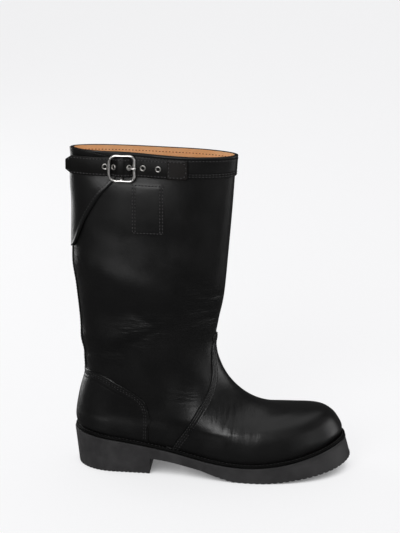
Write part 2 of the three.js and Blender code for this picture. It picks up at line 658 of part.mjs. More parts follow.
// The band round the collar is broken by the back strip and, on the outer side, by the wing.
function collarBand() {
  const [back, front] = [-WIDE, COLLAR_LENGTH + WIDE];
  const low = (x) => collarZ(x) - BAND_HEIGHT;
  const strip = sidePrism([[back, low(back)], [front, low(front)], [front, TALL], [back, TALL]], -WIDE, WIDE);
  const half = BACK_STRIP_WIDTH / 2 + GAP;
  const behind = sidePrism([[back, 0], [COLLAR_LENGTH / 2, 0], [COLLAR_LENGTH / 2, TALL], [back, TALL]], -half, half);
  const underWing = sidePrism(wingOutline(2 * GAP), -WIDE, wingSide);
  return overlayLayer.intersect(strip).subtract(behind).subtract(underWing);
}

function pullStrap(side) {
  const layer = toSolid(surfaceLayer(-WALL - GAP - PULL_STRAP_THICKNESS, -WALL - GAP));
  const middle = COLLAR_LENGTH * PULL_STRAP_AT;
  const [left, right] = [middle - PULL_STRAP_WIDTH / 2, middle + PULL_STRAP_WIDTH / 2];
  const top = collarZ(middle) - PULL_STRAP_TOP;
  const outline = [[left, top - PULL_STRAP_HEIGHT], [right, top - PULL_STRAP_HEIGHT], [right, top], [left, top]];
  const [from, to] = side === "lateral" ? [-WIDE, 0] : [0, WIDE];
  return layer.intersect(sidePrism(outline, from, to));
}

// Strap and buckle. Heights over the upper's surface:
const LAYER_TOP = GAP + OVERLAY; // top of the wing and the band
const STRAP_LIFT = LAYER_TOP + 2 * GAP; // underside of the strap where it lies flat
const SIDE_BAR_LIFT = STRAP_LIFT + STRAP_THICKNESS + GAP + BUCKLE_WIRE / 2;
const BAR_CLEARANCE = CENTRE_BAR / 2 + 2 * GAP + Math.max(CHAPE_THICKNESS, PRONG_EYE_WIRE);
const CENTRE_BAR_LIFT = LAYER_TOP + BAR_CLEARANCE;
const STRAP_OVER_BAR = CENTRE_BAR_LIFT + BAR_CLEARANCE;

function strapZ(x) {
  const back = COLLAR_BACK_HEIGHT - STRAP_BELOW_BACK;
  const front = COLLAR_FRONT_HEIGHT - STRAP_BELOW_FRONT;
  return back + (x / COLLAR_LENGTH) * (front - back);
}

// A place beside the shaft at the strap's level, a lift from the surface and a height across the strap.
function besideShaft(x, across, lift) {
  if (x < STRAP_LEAVES_X) {
    const near = besideShaft(STRAP_LEAVES_X, across, lift);
    const next = besideShaft(STRAP_LEAVES_X + 1, across, lift);
    return near.addScaledVector(next.clone().sub(near), x - STRAP_LEAVES_X);
  }
  const place = placeOnSide(x, strapZ(x) + across, "lateral");
  const normal = surfaceNormal(place.turn, place.height);
  return surfacePoint(place.turn, place.height).addScaledVector(normal, lift);
}

// The plane of the buckle touches the shaft at the buckle's ends, also where the strap draws it hollow.
function buckleFrame() {
  const here = besideShaft(BUCKLE_X, 0, 0);
  const span = BUCKLE_LENGTH / 2;
  const places = [-1, -0.5, 0.5, 1].map((share) => besideShaft(BUCKLE_X + share * span, 0, 0));
  const along = places[3].clone().sub(places[0]).normalize();
  const across = besideShaft(BUCKLE_X, 1, 0).sub(besideShaft(BUCKLE_X, -1, 0)).normalize();
  const out = new THREE.Vector3().crossVectors(along, across).normalize();
  const hollow = Math.max(0, ...places.map((place) => place.sub(here).dot(out)));
  here.addScaledVector(out, hollow);
  return { here, along, out, up: new THREE.Vector3().crossVectors(out, along).normalize() };
}

function inFrame(frame, along, up, out) {
  const point = frame.here.clone().addScaledVector(frame.along, along);
  return point.addScaledVector(frame.up, up).addScaledVector(frame.out, out);
}

const HELD_BY_BUCKLE = 1.05; // shares of the buckle's half length
const FREE_OF_BUCKLE = 1.4;

// A place of the strap. Within the buckle it keeps to the buckle's plane, and beyond it passes over
// to the shaft's surface.
function strapPoint(x, across, lift) {
  const away = Math.abs(x - BUCKLE_X) / (BUCKLE_LENGTH / 2);
  const share = Math.min(Math.max((away - HELD_BY_BUCKLE) / (FREE_OF_BUCKLE - HELD_BY_BUCKLE), 0), 1);
  const shaftLift = strapLift(x) + lift;
  if (share === 1) return besideShaft(x, across, shaftLift);
  const held = inFrame(buckleFrame(), x - BUCKLE_X, across, shaftLift);
  return share === 0 ? held : held.lerp(besideShaft(x, across, shaftLift), share);
}

// The strap's underside rises over the centre bar and lies under both side bars.
function strapLift(x) {
  const reach = BUCKLE_LENGTH / 2 - BUCKLE_WIRE - GAP;
  const share = (Math.abs(x - BUCKLE_X) - BAR_CLEARANCE) / (reach - BAR_CLEARANCE);
  const fall = Math.min(Math.max(share, 0), 1);
  return STRAP_OVER_BAR + (STRAP_LIFT - STRAP_OVER_BAR) * fall;
}

// The strap at one place: its middle, the way along it and the way out of its face.
function strapFrame(x, lift) {
  const here = strapPoint(x, 0, lift);
  const along = strapPoint(x + 0.5, 0, lift).sub(here).normalize();
  const up = strapPoint(x, 1, 0).sub(strapPoint(x, -1, 0)).normalize();
  const out = new THREE.Vector3().crossVectors(along, up).normalize();
  return { here, along, out, up: new THREE.Vector3().crossVectors(out, along).normalize() };
}

// The strap bends where it leaves the centre bar and where it reaches the side bars.
function strapStations() {
  const reach = BUCKLE_LENGTH / 2 - BUCKLE_WIRE - GAP;
  const bends = [(FREE_OF_BUCKLE * BUCKLE_LENGTH) / 2, reach, BAR_CLEARANCE];
  const held = [...bends.map((bend) => BUCKLE_X - bend), ...bends.reverse().map((bend) => BUCKLE_X + bend)];
  const step = STRAP_WIDTH / 2;
  const spread = (from, to) => {
    const count = Math.ceil((to - from) / step);
    return Array.from({ length: count }, (_, i) => from + (i / count) * (to - from));
  };
  return [
    ...spread(STRAP_TIP_X, STRAP_TIP_X + TIP_LENGTH),
    ...spread(STRAP_TIP_X + TIP_LENGTH, held[0]),
    ...held,
    ...spread(held.at(-1), STRAP_END_X).slice(1),
    STRAP_END_X,
  ];
}

function strapBody() {
  const loops = strapStations().map((x) => {
    const fromEnd = Math.min((x - STRAP_TIP_X) / TIP_LENGTH, 1);
    const half = (STRAP_WIDTH / 2) * (TIP_SHARE + (1 - TIP_SHARE) * fromEnd);
    const corner = (across, lift) => {
      const frame = strapFrame(x, lift);
      return frame.here.addScaledVector(frame.up, across);
    };
    return [corner(-half, 0), corner(half, 0), corner(half, STRAP_THICKNESS), corner(-half, STRAP_THICKNESS)];
  });
  return toSolid(lattice(loops, false));
}

// A ring round an axis, from a closed profile of radius and height pairs.
function turned(profile, frame) {
  const loops = Array.from({ length: ROUND_SIDES }, (_, i) => {
    const angle = (i / ROUND_SIDES) * 2 * Math.PI;
    return profile.map(([radius, height]) => {
      const point = frame.here.clone().addScaledVector(frame.out, height);
      point.addScaledVector(frame.along, radius * Math.cos(angle));
      return point.addScaledVector(frame.up, radius * Math.sin(angle));
    });
  });
  return toSolid(lattice(loops, true));
}

function rod(frame, radius, from, to) {
  const ends = [from, to].map((height) => {
    return Array.from({ length: ROUND_SIDES }, (_, i) => {
      const angle = (i / ROUND_SIDES) * 2 * Math.PI;
      const point = frame.here.clone().addScaledVector(frame.out, height);
      point.addScaledVector(frame.along, radius * Math.cos(angle));
      return point.addScaledVector(frame.up, radius * Math.sin(angle));
    });
  });
  return toSolid(lattice(ends, false));
}

const BARREL = EYELET_BORE / 2 + EYELET_WALL;

function eyelet(frame) {
  const top = STRAP_THICKNESS + GAP;
  const profile = [
    [EYELET_BORE / 2, GAP],
    [BARREL, GAP],
    [BARREL, top],
    [EYELET_OUTER / 2, top],
    [EYELET_OUTER / 2 - EYELET_FLANGE, top + EYELET_FLANGE],
    [EYELET_BORE / 2 + EYELET_FLANGE / 2, top + EYELET_FLANGE],
  ];
  return turned(profile, frame);
}

// Points of a rounded rectangle, with larger corners at its back than at its front.
function buckleOutline() {
  const [halfLength, halfHeight] = [(BUCKLE_LENGTH - BUCKLE_WIRE) / 2, (BUCKLE_HEIGHT - BUCKLE_WIRE) / 2];
  const corners = [
    { along: 1, up: 1, radius: FRONT_CORNER },
    { along: -1, up: 1, radius: BACK_CORNER },
    { along: -1, up: -1, radius: BACK_CORNER },
    { along: 1, up: -1, radius: FRONT_CORNER },
  ];
  return corners.flatMap(({ along, up, radius }, corner) => {
    const middle = [along * (halfLength - radius), up * (halfHeight - radius)];
    return Array.from({ length: CORNER_POINTS }, (_, i) => {
      const angle = (corner + i / (CORNER_POINTS - 1)) * (Math.PI / 2);
      return [middle[0] + radius * Math.cos(angle), middle[1] + radius * Math.sin(angle)];
    });
  });
}

function buckle() {
  const frame = buckleFrame();
  const ring = buckleOutline().map(([along, up]) => inFrame(frame, along, up, SIDE_BAR_LIFT));
  const half = (BUCKLE_HEIGHT - BUCKLE_WIRE) / 2;
  const inside = half - BUCKLE_WIRE / 2;
  const bar = [
    inFrame(frame, 0, -half, SIDE_BAR_LIFT),
    inFrame(frame, 0, -inside, CENTRE_BAR_LIFT),
    inFrame(frame, 0, inside, CENTRE_BAR_LIFT),
    inFrame(frame, 0, half, SIDE_BAR_LIFT),
  ];
  const outer = wire(ring, BUCKLE_WIRE / 2, frame.out, true);
  return outer.add(wire(bar, CENTRE_BAR / 2, frame.along, false));
}

// A loop of leather round the centre bar, with a tail between the wing and the strap.
function chape() {
  const frame = buckleFrame();
  const inner = CENTRE_BAR / 2 + GAP;
  const outer = inner + CHAPE_THICKNESS;
  const circle = (radius) => Array.from({ length: ROUND_SIDES }, (_, i) => {
    const angle = (i / ROUND_SIDES) * 2 * Math.PI;
    return [radius * Math.cos(angle), CENTRE_BAR_LIFT + radius * Math.sin(angle)];
  });
  const block = (outline, half) => {
    const loops = [-half, half].map((up) => outline.map(([along, out]) => inFrame(frame, along, up, out)));
    return toSolid(lattice(loops, false));
  };
  const half = CHAPE_WIDTH / 2;
  const low = CENTRE_BAR_LIFT - outer;
  const tail = [[-CHAPE_TAIL, low], [0, low], [0, low + CHAPE_THICKNESS], [-CHAPE_TAIL, low + CHAPE_THICKNESS]];
  const high = CENTRE_BAR_LIFT + outer + GAP;
  const wide = outer + GAP;
  const slot = [[-wide, low - GAP], [wide, low - GAP], [wide, high], [-wide, high]];
  const body = block(circle(outer), half).add(block(tail, half));
  return body.subtract(block(circle(inner), half + GAP)).subtract(block(slot, PRONG_WIRE / 2 + 2 * GAP));
}

// The prong: an eye round the centre bar and a pin that rests on the front bar.
function prongPath(frame) {
  const start = CENTRE_BAR / 2 + GAP + PRONG_EYE_WIRE / 2;
  const tip = BUCKLE_LENGTH / 2;
  const rest = SIDE_BAR_LIFT + BUCKLE_WIRE / 2 + GAP + PRONG_WIRE / 2;
  return [
    inFrame(frame, start, 0, CENTRE_BAR_LIFT + PRONG_WIRE / 4),
    inFrame(frame, start + PRONG_BEND, 0, CENTRE_BAR_LIFT + PRONG_WIRE),
    inFrame(frame, tip - PRONG_BEND, 0, rest),
    inFrame(frame, tip, 0, rest),
  ];
}

function prong(grow) {
  const frame = buckleFrame();
  const eyeRadius = CENTRE_BAR / 2 + GAP + PRONG_EYE_WIRE / 2;
  const eye = Array.from({ length: ROUND_SIDES }, (_, i) => {
    const angle = (i / ROUND_SIDES) * 2 * Math.PI;
    return inFrame(frame, eyeRadius * Math.cos(angle), 0, CENTRE_BAR_LIFT + eyeRadius * Math.sin(angle));
  });
  const pin = wire(prongPath(frame), PRONG_WIRE / 2 + grow, frame.up, false);
  return pin.add(wire(eye, PRONG_EYE_WIRE / 2 + grow, frame.up, true));
}

const eyeletFrames = EYELETS.map(({ at }) => strapFrame(BUCKLE_X + at * EYELET_PITCH, 0));

// Each hole clears its eyelet's barrel, and the strap keeps below the eyelet's flange.
function strap() {
  const seat = STRAP_THICKNESS + GAP / 2;
  const holes = eyeletFrames.flatMap((frame) => [
    rod(frame, BARREL + GAP, -STRAP_THICKNESS, 2 * STRAP_THICKNESS),
    rod(frame, EYELET_OUTER / 2 + GAP, seat, seat + STRAP_THICKNESS),
  ]);
  return strapBody().subtract(joined(holes)).subtract(prong(GAP));
}

// The boot

function mesh(name, solid, material) {
  const made = new THREE.Mesh(toGeometry(solid), material);
  made.name = name;
  return made;
}

const boot = new THREE.Group();
boot.add(
  mesh("outsole", outsole(), COLOURS.rubber),
  mesh("welt", welt(), COLOURS.welt),
  mesh("insole", insole(), COLOURS.lining),
  mesh("upper", toSolid(surfaceLayer(-WALL, 0)), COLOURS.leather),
  mesh("counter", counter(), COLOURS.leather),
  mesh("vamp_seam", vampSeam(), COLOURS.leather),
  mesh("back_strip", backStrip(), COLOURS.leather),
  mesh("wing", wing(), COLOURS.leather),
  mesh("collar_band", collarBand(), COLOURS.leather),
  mesh("pull_strap_lateral", pullStrap("lateral"), COLOURS.lining),
  mesh("pull_strap_medial", pullStrap("medial"), COLOURS.lining),
  mesh("strap", strap(), COLOURS.strap),
  mesh("buckle_frame", buckle(), COLOURS.metal),
  mesh("buckle_chape", chape(), COLOURS.strap),
  mesh("buckle_prong", prong(0), COLOURS.metal),
);
eyeletFrames.forEach((frame, i) => {
  const cut = i === PRONG_EYELET ? eyelet(frame).subtract(prong(GAP)) : eyelet(frame);
  boot.add(mesh(`eyelet_${i + 1}`, cut, COLOURS.metal));
});

// The origin is on the floor, under the middle of the boot.
const box = new THREE.Box3().setFromObject(boot);
const middle = box.getCenter(new THREE.Vector3());
boot.position.set(-middle.x, -middle.y, -box.min.z);

const part = new THREE.Group();
part.add(boot);

export default part;
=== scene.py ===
"""Looks of the buckle boot: leather, linings, seams, stitches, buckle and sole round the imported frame.

Lengths are millimetres in the boot's own layout, where x runs from the heel, y to the inner side and z
up from the floor. They turn into the row's metres where a mesh is made.
"""

import math

import bmesh
import bpy
import numpy as np
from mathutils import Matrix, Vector


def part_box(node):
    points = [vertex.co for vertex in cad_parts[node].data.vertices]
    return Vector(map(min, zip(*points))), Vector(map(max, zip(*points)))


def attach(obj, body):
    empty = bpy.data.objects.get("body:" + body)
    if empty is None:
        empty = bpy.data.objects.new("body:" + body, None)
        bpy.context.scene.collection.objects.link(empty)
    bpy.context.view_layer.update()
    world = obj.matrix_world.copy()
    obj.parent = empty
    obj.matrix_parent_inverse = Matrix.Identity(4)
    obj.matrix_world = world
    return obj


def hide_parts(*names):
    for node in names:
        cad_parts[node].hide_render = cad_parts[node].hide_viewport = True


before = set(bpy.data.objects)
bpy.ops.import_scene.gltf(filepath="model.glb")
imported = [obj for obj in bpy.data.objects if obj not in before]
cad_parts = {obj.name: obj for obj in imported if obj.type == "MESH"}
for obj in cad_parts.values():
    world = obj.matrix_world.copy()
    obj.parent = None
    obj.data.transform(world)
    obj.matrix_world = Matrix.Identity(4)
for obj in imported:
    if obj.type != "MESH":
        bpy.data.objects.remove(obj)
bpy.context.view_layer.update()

# Main sizes, as in the part
UPPER_LENGTH = 289
BALL_HALF_WIDTH = 52
INSTEP_HEIGHT = 94
HEEL_BACK_HEIGHT = 95
COLLAR_LENGTH = 177
COLLAR_FRONT_HEIGHT = 349
COLLAR_BACK_HEIGHT = 354
SHAFT_HALF_WIDTH = 33
TOE_SWING = 4
TOE_TURN_FROM = 0.45
SEAT_HEIGHT = 43.8
TOE_FEATHER_HEIGHT = 38.5
FEATHER_SAG = 20
SAG_SKEW = 1.55
WELT_LEDGE = 5.6
WELT_THICKNESS = 3
WELT_INSET = 0.8
WELT_UNDER_UPPER = 2.9
HEEL_BREAST = 85
HEEL_TAPER = 3.4
TOE_FLARE = 7
TOE_SPRING = 14
ARCH_HEIGHT = 17
BALL_SHARE = 0.6
FLOOR_EDGE_INSET = 1
INSOLE_THICKNESS = 6
NOTCH_DEPTH = 1.8
FOREFOOT_NOTCH_PITCH = 6.5
HEEL_NOTCH_PITCH = 4.7
NOTCHES_FROM = 0.53
NOTCH_SHARE = 0.42
WALL = 2.4
GAP = 0.35
OVERLAY = 1.6
STRIP_THICKNESS = 1.2
BACK_STRIP_WIDTH = 9
BAND_HEIGHT = 22
PULL_STRAP_WIDTH = 28
PULL_STRAP_HEIGHT = 50
PULL_STRAP_THICKNESS = 2.4
PULL_STRAP_TOP = 33
PULL_STRAP_AT = 0.47
STRAP_WIDTH = 20
STRAP_THICKNESS = 2
STRAP_BELOW_BACK = 16.5
STRAP_BELOW_FRONT = 11.5
STRAP_TIP_X = -2.5
STRAP_END_X = 125
TIP_LENGTH = 6
TIP_SHARE = 0.55
STRAP_LEAVES_X = 16
BUCKLE_X = 56
BUCKLE_LENGTH = 30
BUCKLE_HEIGHT = 30
BUCKLE_WIRE = 3.2
FRONT_CORNER = 3.5
BACK_CORNER = 6.5
CENTRE_BAR = 2.6
CHAPE_THICKNESS = 1
CHAPE_WIDTH = 16
CHAPE_TAIL = 6
PRONG_WIRE = 2
PRONG_BEND = 4
PRONG_EYE_WIRE = 1.2
EYELET_PITCH = 16
EYELET_OUTER = 6.7
EYELET_BORE = 3.2
SOLE_LENGTH = UPPER_LENGTH + WELT_LEDGE + TOE_FLARE

# How points are looked up on the surface
SURFACE_STEP = 1e-4
HALVINGS = 24
PLACE_ROUNDS = 90
PLACE_GAIN = 0.03  # rings gone up for each mm that a point lies too low
RIM_LEVEL = 0.02  # this close to the rim the leather leans straight out
RELIEF_FADE = 0.5  # rings below the rim over which creases fade

# How finely the leather is divided
AROUND = 320
OUTSIDE_ROWS = 220
INSIDE_ROWS = 52
SPACING_SAMPLES = 1200
SPACING_TURNS = (0.0, 0.12, 0.25, 0.5)
RIM_ROUNDING = 0.4


def table(names, rows):
    return {name: np.array([row[i] for row in rows], float) for i, name in enumerate(names)}


FOOT_OUTLINE = table(
    ("at", "lateral", "medial"),
    [
        (0.0, 0.64, 0.64),
        (0.15, 0.64, 0.63),
        (0.3, 0.66, 0.6),
        (0.38, 0.7, 0.585),
        (0.46, 0.8, 0.6),
        (0.53, 0.9, 0.66),
        (0.6, 0.97, 0.76),
        (0.68, 1.0, 0.86),
        (0.77, 1.0, 0.92),
        (1.0, 1.0, 0.92),
    ],
)
RING_COLUMNS = (
    "backX", "backZ", "frontX", "frontZ", "sag", "swell", "foot",
    "lateral", "medial", "backReach", "frontReach", "backRound", "frontRound", "pinch",
)
FOOT_RINGS = [
    (0.017, 0.0, 1.0, 0.0, 1.0, 1.0, 1.0, 1.1, 1.1, 0.14, 0.36, 2.0, 2.15, 0),
    (0.009, 0.06, 1.005, 0.125, 0.98, 1.006, 1.0, 1.1, 1.1, 0.14, 0.36, 2.0, 2.15, 0),
    (0.005, 0.15, 0.993, 0.268, 0.95, 1.0, 1.0, 1.1, 1.1, 0.15, 0.37, 2.0, 2.15, 0),
    (0.005, 0.26, 0.97, 0.43, 0.9, 0.975, 1.0, 1.1, 1.1, 0.15, 0.38, 2.0, 2.15, 0),
    (0.007, 0.36, 0.928, 0.55, 0.87, 0.945, 1.0, 1.1, 1.1, 0.16, 0.42, 2.0, 2.15, 0),
    (0.01, 0.47, 0.85, 0.565, 0.75, 0.925, 1.0, 1.1, 1.1, 0.17, 0.48, 2.0, 2.1, 0),
    (0.0155, 0.63, 0.752, 0.57, 0.58, 0.91, 0.95, 1.1, 1.08, 0.2, 0.52, 2.0, 2.05, 0),
    (0.0224, 0.8, 0.669, 0.71, 0.52, 0.89, 0.8, 1.09, 1.07, 0.24, 0.55, 2.0, 2.0, 0),
    (0.0325, 1.0, 0.6, 0.99, 0.42, 0.87, 0.5, 1.07, 1.05, 0.3, 0.58, 2.0, 1.95, 0),
]
SHAFT_RINGS = [
    (0.067, 0.05, 0.904, 0.078, 0.22, 0.85, 0.2, 1.04, 1.02, 0.36, 0.56, 2.0, 1.95, 0),
    (0.063, 0.112, 0.864, 0.18, 0.08, 0.85, 0.0, 1.0, 1.0, 0.42, 0.56, 2.0, 2.0, 0),
    (0.049, 0.205, 0.881, 0.278, 0.02, 0.85, 0.0, 0.99, 0.99, 0.45, 0.54, 2.0, 2.0, 0),
    (0.027, 0.382, 0.915, 0.396, 0.0, 0.85, 0.0, 0.98, 0.98, 0.46, 0.52, 2.0, 2.0, 0),
    (0.007, 0.579, 0.942, 0.596, 0.0, 0.85, 0.0, 0.94, 0.92, 0.46, 0.48, 2.0, 2.0, 0.02),
    (0.006, 0.772, 0.964, 0.782, 0.0, 0.85, 0.0, 0.84, 0.78, 0.46, 0.44, 2.0, 2.0, 0.1),
    (0.006, 0.907, 0.977, 0.914, 0.0, 0.85, 0.0, 0.72, 0.6, 0.46, 0.38, 2.0, 2.0, 0.2),
    (0.003, 1.0, 0.986, 1.0, 0.0, 0.85, 0.0, 0.66, 0.5, 0.45, 0.34, 2.0, 2.0, 0.22),
]
EYELETS = (-1.12, -0.42, 0.43, 1.44, 2.45)
PINCH_AT = 0.34
PINCH_SPREAD = 0.2
ARCH_LINE = [(0.297, 1.0), (0.37, 0.83), (0.47, 0.55), (0.53, 0.24), (0.58, 0.03), (BALL_SHARE, 0.0)]
SPRING_LINE = [(0.7, 0.0), (0.76, 0.1), (0.82, 0.25), (0.88, 0.43), (0.94, 0.66), (1.0, 1.0)]
# Edges of the overlays, x as shares of COLLAR_LENGTH and z of INSTEP_HEIGHT
COUNTER_EDGE = [
    (0.06, 1.145), (0.13, 1.16), (0.2, 1.135), (0.3, 1.045), (0.38, 0.96), (0.425, 0.895),
    (0.455, 0.82), (0.47, 0.72), (0.473, 0.55), (0.47, 0.4),
]
VAMP_SEAM_LINE = [
    (0.875, 1.58), (0.85, 1.48), (0.845, 1.3), (0.846, 1.14), (0.824, 0.97), (0.772, 0.79),
    (0.71, 0.585), (0.65, 0.43), (0.6, 0.28),
]
WING_DROP = 108
WING_EDGE = [
    (0.012, 0.0), (0.05, 0.0), (0.1, 0.004), (0.17, 0.02), (0.235, 0.045), (0.28, 0.09),
    (0.29, 0.17), (0.275, 0.26), (0.232, 0.35), (0.185, 0.44), (0.14, 0.555), (0.093, 0.7),
    (0.06, 0.84), (0.03, 0.96), (0.012, 1.0),
]


def smooth_at(rows, place, column, at):
    """A smooth curve through table rows: the value of one column at places along another."""
    xs, ys = rows[place], rows[column]
    before = np.maximum(np.arange(len(xs)) - 1, 0)
    after = np.minimum(np.arange(len(xs)) + 1, len(xs) - 1)
    slopes = (ys[after] - ys[before]) / (xs[after] - xs[before])
    where = np.clip(at, xs[0], xs[-1])
    i = np.clip(np.searchsorted(xs, where, side="right") - 1, 0, len(xs) - 2)
    span = xs[i + 1] - xs[i]
    s = (where - xs[i]) / span
    rise = s * s * (3 - 2 * s)
    start = s * (1 - s) ** 2 * span
    end = s * s * (s - 1) * span
    return ys[i] * (1 - rise) + ys[i + 1] * rise + slopes[i] * start + slopes[i + 1] * end


def eased(value):
    share = np.clip(value, 0, 1)
    return share * share * (3 - 2 * share)


def hill(value, middle, width):
    """1 at the middle, falling softly to 0 on both sides."""
    return np.exp(-(((value - middle) / width) ** 2))


def steps_along(points):
    """The length of a row of points up to each of them."""
    return np.concatenate([[0], np.cumsum(np.linalg.norm(np.diff(points, axis=0), axis=1))])


def at_steps(s, steps, rows):
    """Rows of values at the places s, where steps gives each row's own place."""
    return np.stack([np.interp(s, steps, rows[:, k]) for k in range(rows.shape[1])], -1)


def rings_in_mm():
    foot = table(RING_COLUMNS, FOOT_RINGS)
    shaft = table(RING_COLUMNS, SHAFT_RINGS)
    for column in ("backX", "frontX"):
        foot[column] = foot[column] * UPPER_LENGTH
        shaft[column] = shaft[column] * COLLAR_LENGTH
    foot["backZ"] = SEAT_HEIGHT + foot["backZ"] * (HEEL_BACK_HEIGHT - SEAT_HEIGHT)
    foot["frontZ"] = TOE_FEATHER_HEIGHT + foot["frontZ"] * (INSTEP_HEIGHT - TOE_FEATHER_HEIGHT)
    shaft["backZ"] = HEEL_BACK_HEIGHT + shaft["backZ"] * (COLLAR_BACK_HEIGHT - HEEL_BACK_HEIGHT)
    shaft["frontZ"] = INSTEP_HEIGHT + shaft["frontZ"] * (COLLAR_FRONT_HEIGHT - INSTEP_HEIGHT)
    rings = {column: np.concatenate([foot[column], shaft[column]]) for column in RING_COLUMNS}
    rings["sag"] = rings["sag"] * FEATHER_SAG
    for column in ("lateral", "medial", "pinch"):
        rings[column] = rings[column] * SHAFT_HALF_WIDTH
    rings["ring"] = np.arange(len(rings["sag"]), dtype=float)
    return rings


RINGS = rings_in_mm()
COLLAR_RING = len(FOOT_RINGS) + len(SHAFT_RINGS) - 1


def middle_line(x):
    share = np.clip((x / UPPER_LENGTH - TOE_TURN_FROM) / (1 - TOE_TURN_FROM), 0, 1)
    return TOE_SWING * share**2


def sag_shape(along):
    return np.sin(math.pi * np.clip(along, 0, 1) ** SAG_SKEW)


def surface_point(turn, height):
    """Points of the upper's smooth outer surface, before its creases."""
    turn, height = np.broadcast_arrays(np.asarray(turn, float) % 1.0, np.asarray(height, float))
    ring = {column: smooth_at(RINGS, "ring", column, height) for column in RING_COLUMNS}
    outer_side = turn < 0.5
    along = (1 + np.cos(2 * math.pi * turn)) / 2
    x = ring["backX"] + along * (ring["frontX"] - ring["backX"])
    z = ring["backZ"] + along * (ring["frontZ"] - ring["backZ"]) - ring["sag"] * sag_shape(along)
    share = x / UPPER_LENGTH
    foot_lateral = smooth_at(FOOT_OUTLINE, "at", "lateral", share)
    foot_medial = smooth_at(FOOT_OUTLINE, "at", "medial", share)
    foot_width = np.where(outer_side, foot_lateral, foot_medial) * BALL_HALF_WIDTH * ring["swell"]
    shaft_width = np.where(outer_side, ring["lateral"], ring["medial"])
    pinch = np.where(outer_side, ring["pinch"], 0) * hill(along, PINCH_AT, PINCH_SPREAD)
    half = ring["foot"] * foot_width + (1 - ring["foot"]) * shaft_width - pinch
    back = np.maximum(0, 1 - along / ring["backReach"])
    front = np.maximum(0, 1 - (1 - along) / ring["frontReach"])
    rounding = np.maximum(0, 1 - back ** ring["backRound"]) ** (1 / ring["backRound"])
    rounding = rounding * np.maximum(0, 1 - front ** ring["frontRound"]) ** (1 / ring["frontRound"])
    y = middle_line(x) + np.where(outer_side, -1, 1) * half * rounding
    return np.stack([x, y, z + GAP], -1)


def unit(vectors):
    return vectors / np.maximum(np.linalg.norm(vectors, axis=-1, keepdims=True), 1e-12)


def surface_normal(turn, height):
    turn, height = np.broadcast_arrays(np.asarray(turn, float), np.asarray(height, float))
    low = np.maximum(height - SURFACE_STEP, 0)
    high = np.minimum(height + SURFACE_STEP, COLLAR_RING)
    up = surface_point(turn, high) - surface_point(turn, low)
    around = surface_point(turn + SURFACE_STEP, height) - surface_point(turn - SURFACE_STEP, height)
    return unit(np.cross(up, around))


def place_on_side(x, z, lateral=True):
    """The turn and height on one side of the surface that have a given x and z."""
    x, z = np.broadcast_arrays(np.asarray(x, float), np.asarray(z, float))
    height = np.full(x.shape, COLLAR_RING / 2.0)
    for _ in range(PLACE_ROUNDS):
        ring = {c: smooth_at(RINGS, "ring", c, height) for c in ("backX", "backZ", "frontX", "frontZ", "sag")}
        along = np.clip((x - ring["backX"]) / (ring["frontX"] - ring["backX"]), 0, 1)
        here = ring["backZ"] + along * (ring["frontZ"] - ring["backZ"]) - ring["sag"] * sag_shape(along)
        height = np.clip(height + (z - here) * PLACE_GAIN, 0, COLLAR_RING)
    turn = np.arccos(np.clip(2 * along - 1, -1, 1)) / (2 * math.pi)
    return np.where(lateral, turn, 1 - turn), height


def halved(low, high, test):
    """The place between low, where the test is false, and high, where it is true, found by halving."""
    for _ in range(HALVINGS):
        middle = (low + high) / 2
        met = test(middle)
        high = np.where(met, middle, high)
        low = np.where(met, low, middle)
    return (low + high) / 2


def height_where(turn, test):
    """For each turn the lowest height where test(point) turns true."""
    top = np.full_like(turn, COLLAR_RING)
    return halved(np.zeros_like(turn), top, lambda height: test(surface_point(turn, height)))


def collar_z(x):
    return COLLAR_BACK_HEIGHT + x / COLLAR_LENGTH * (COLLAR_FRONT_HEIGHT - COLLAR_BACK_HEIGHT)


def feather_z(x):
    start = RINGS["backX"][0]
    along = np.clip((x - start) / (RINGS["frontX"][0] - start), 0, 1)
    line = RINGS["backZ"][0] + along * (RINGS["frontZ"][0] - RINGS["backZ"][0])
    return line - RINGS["sag"][0] * sag_shape(along)


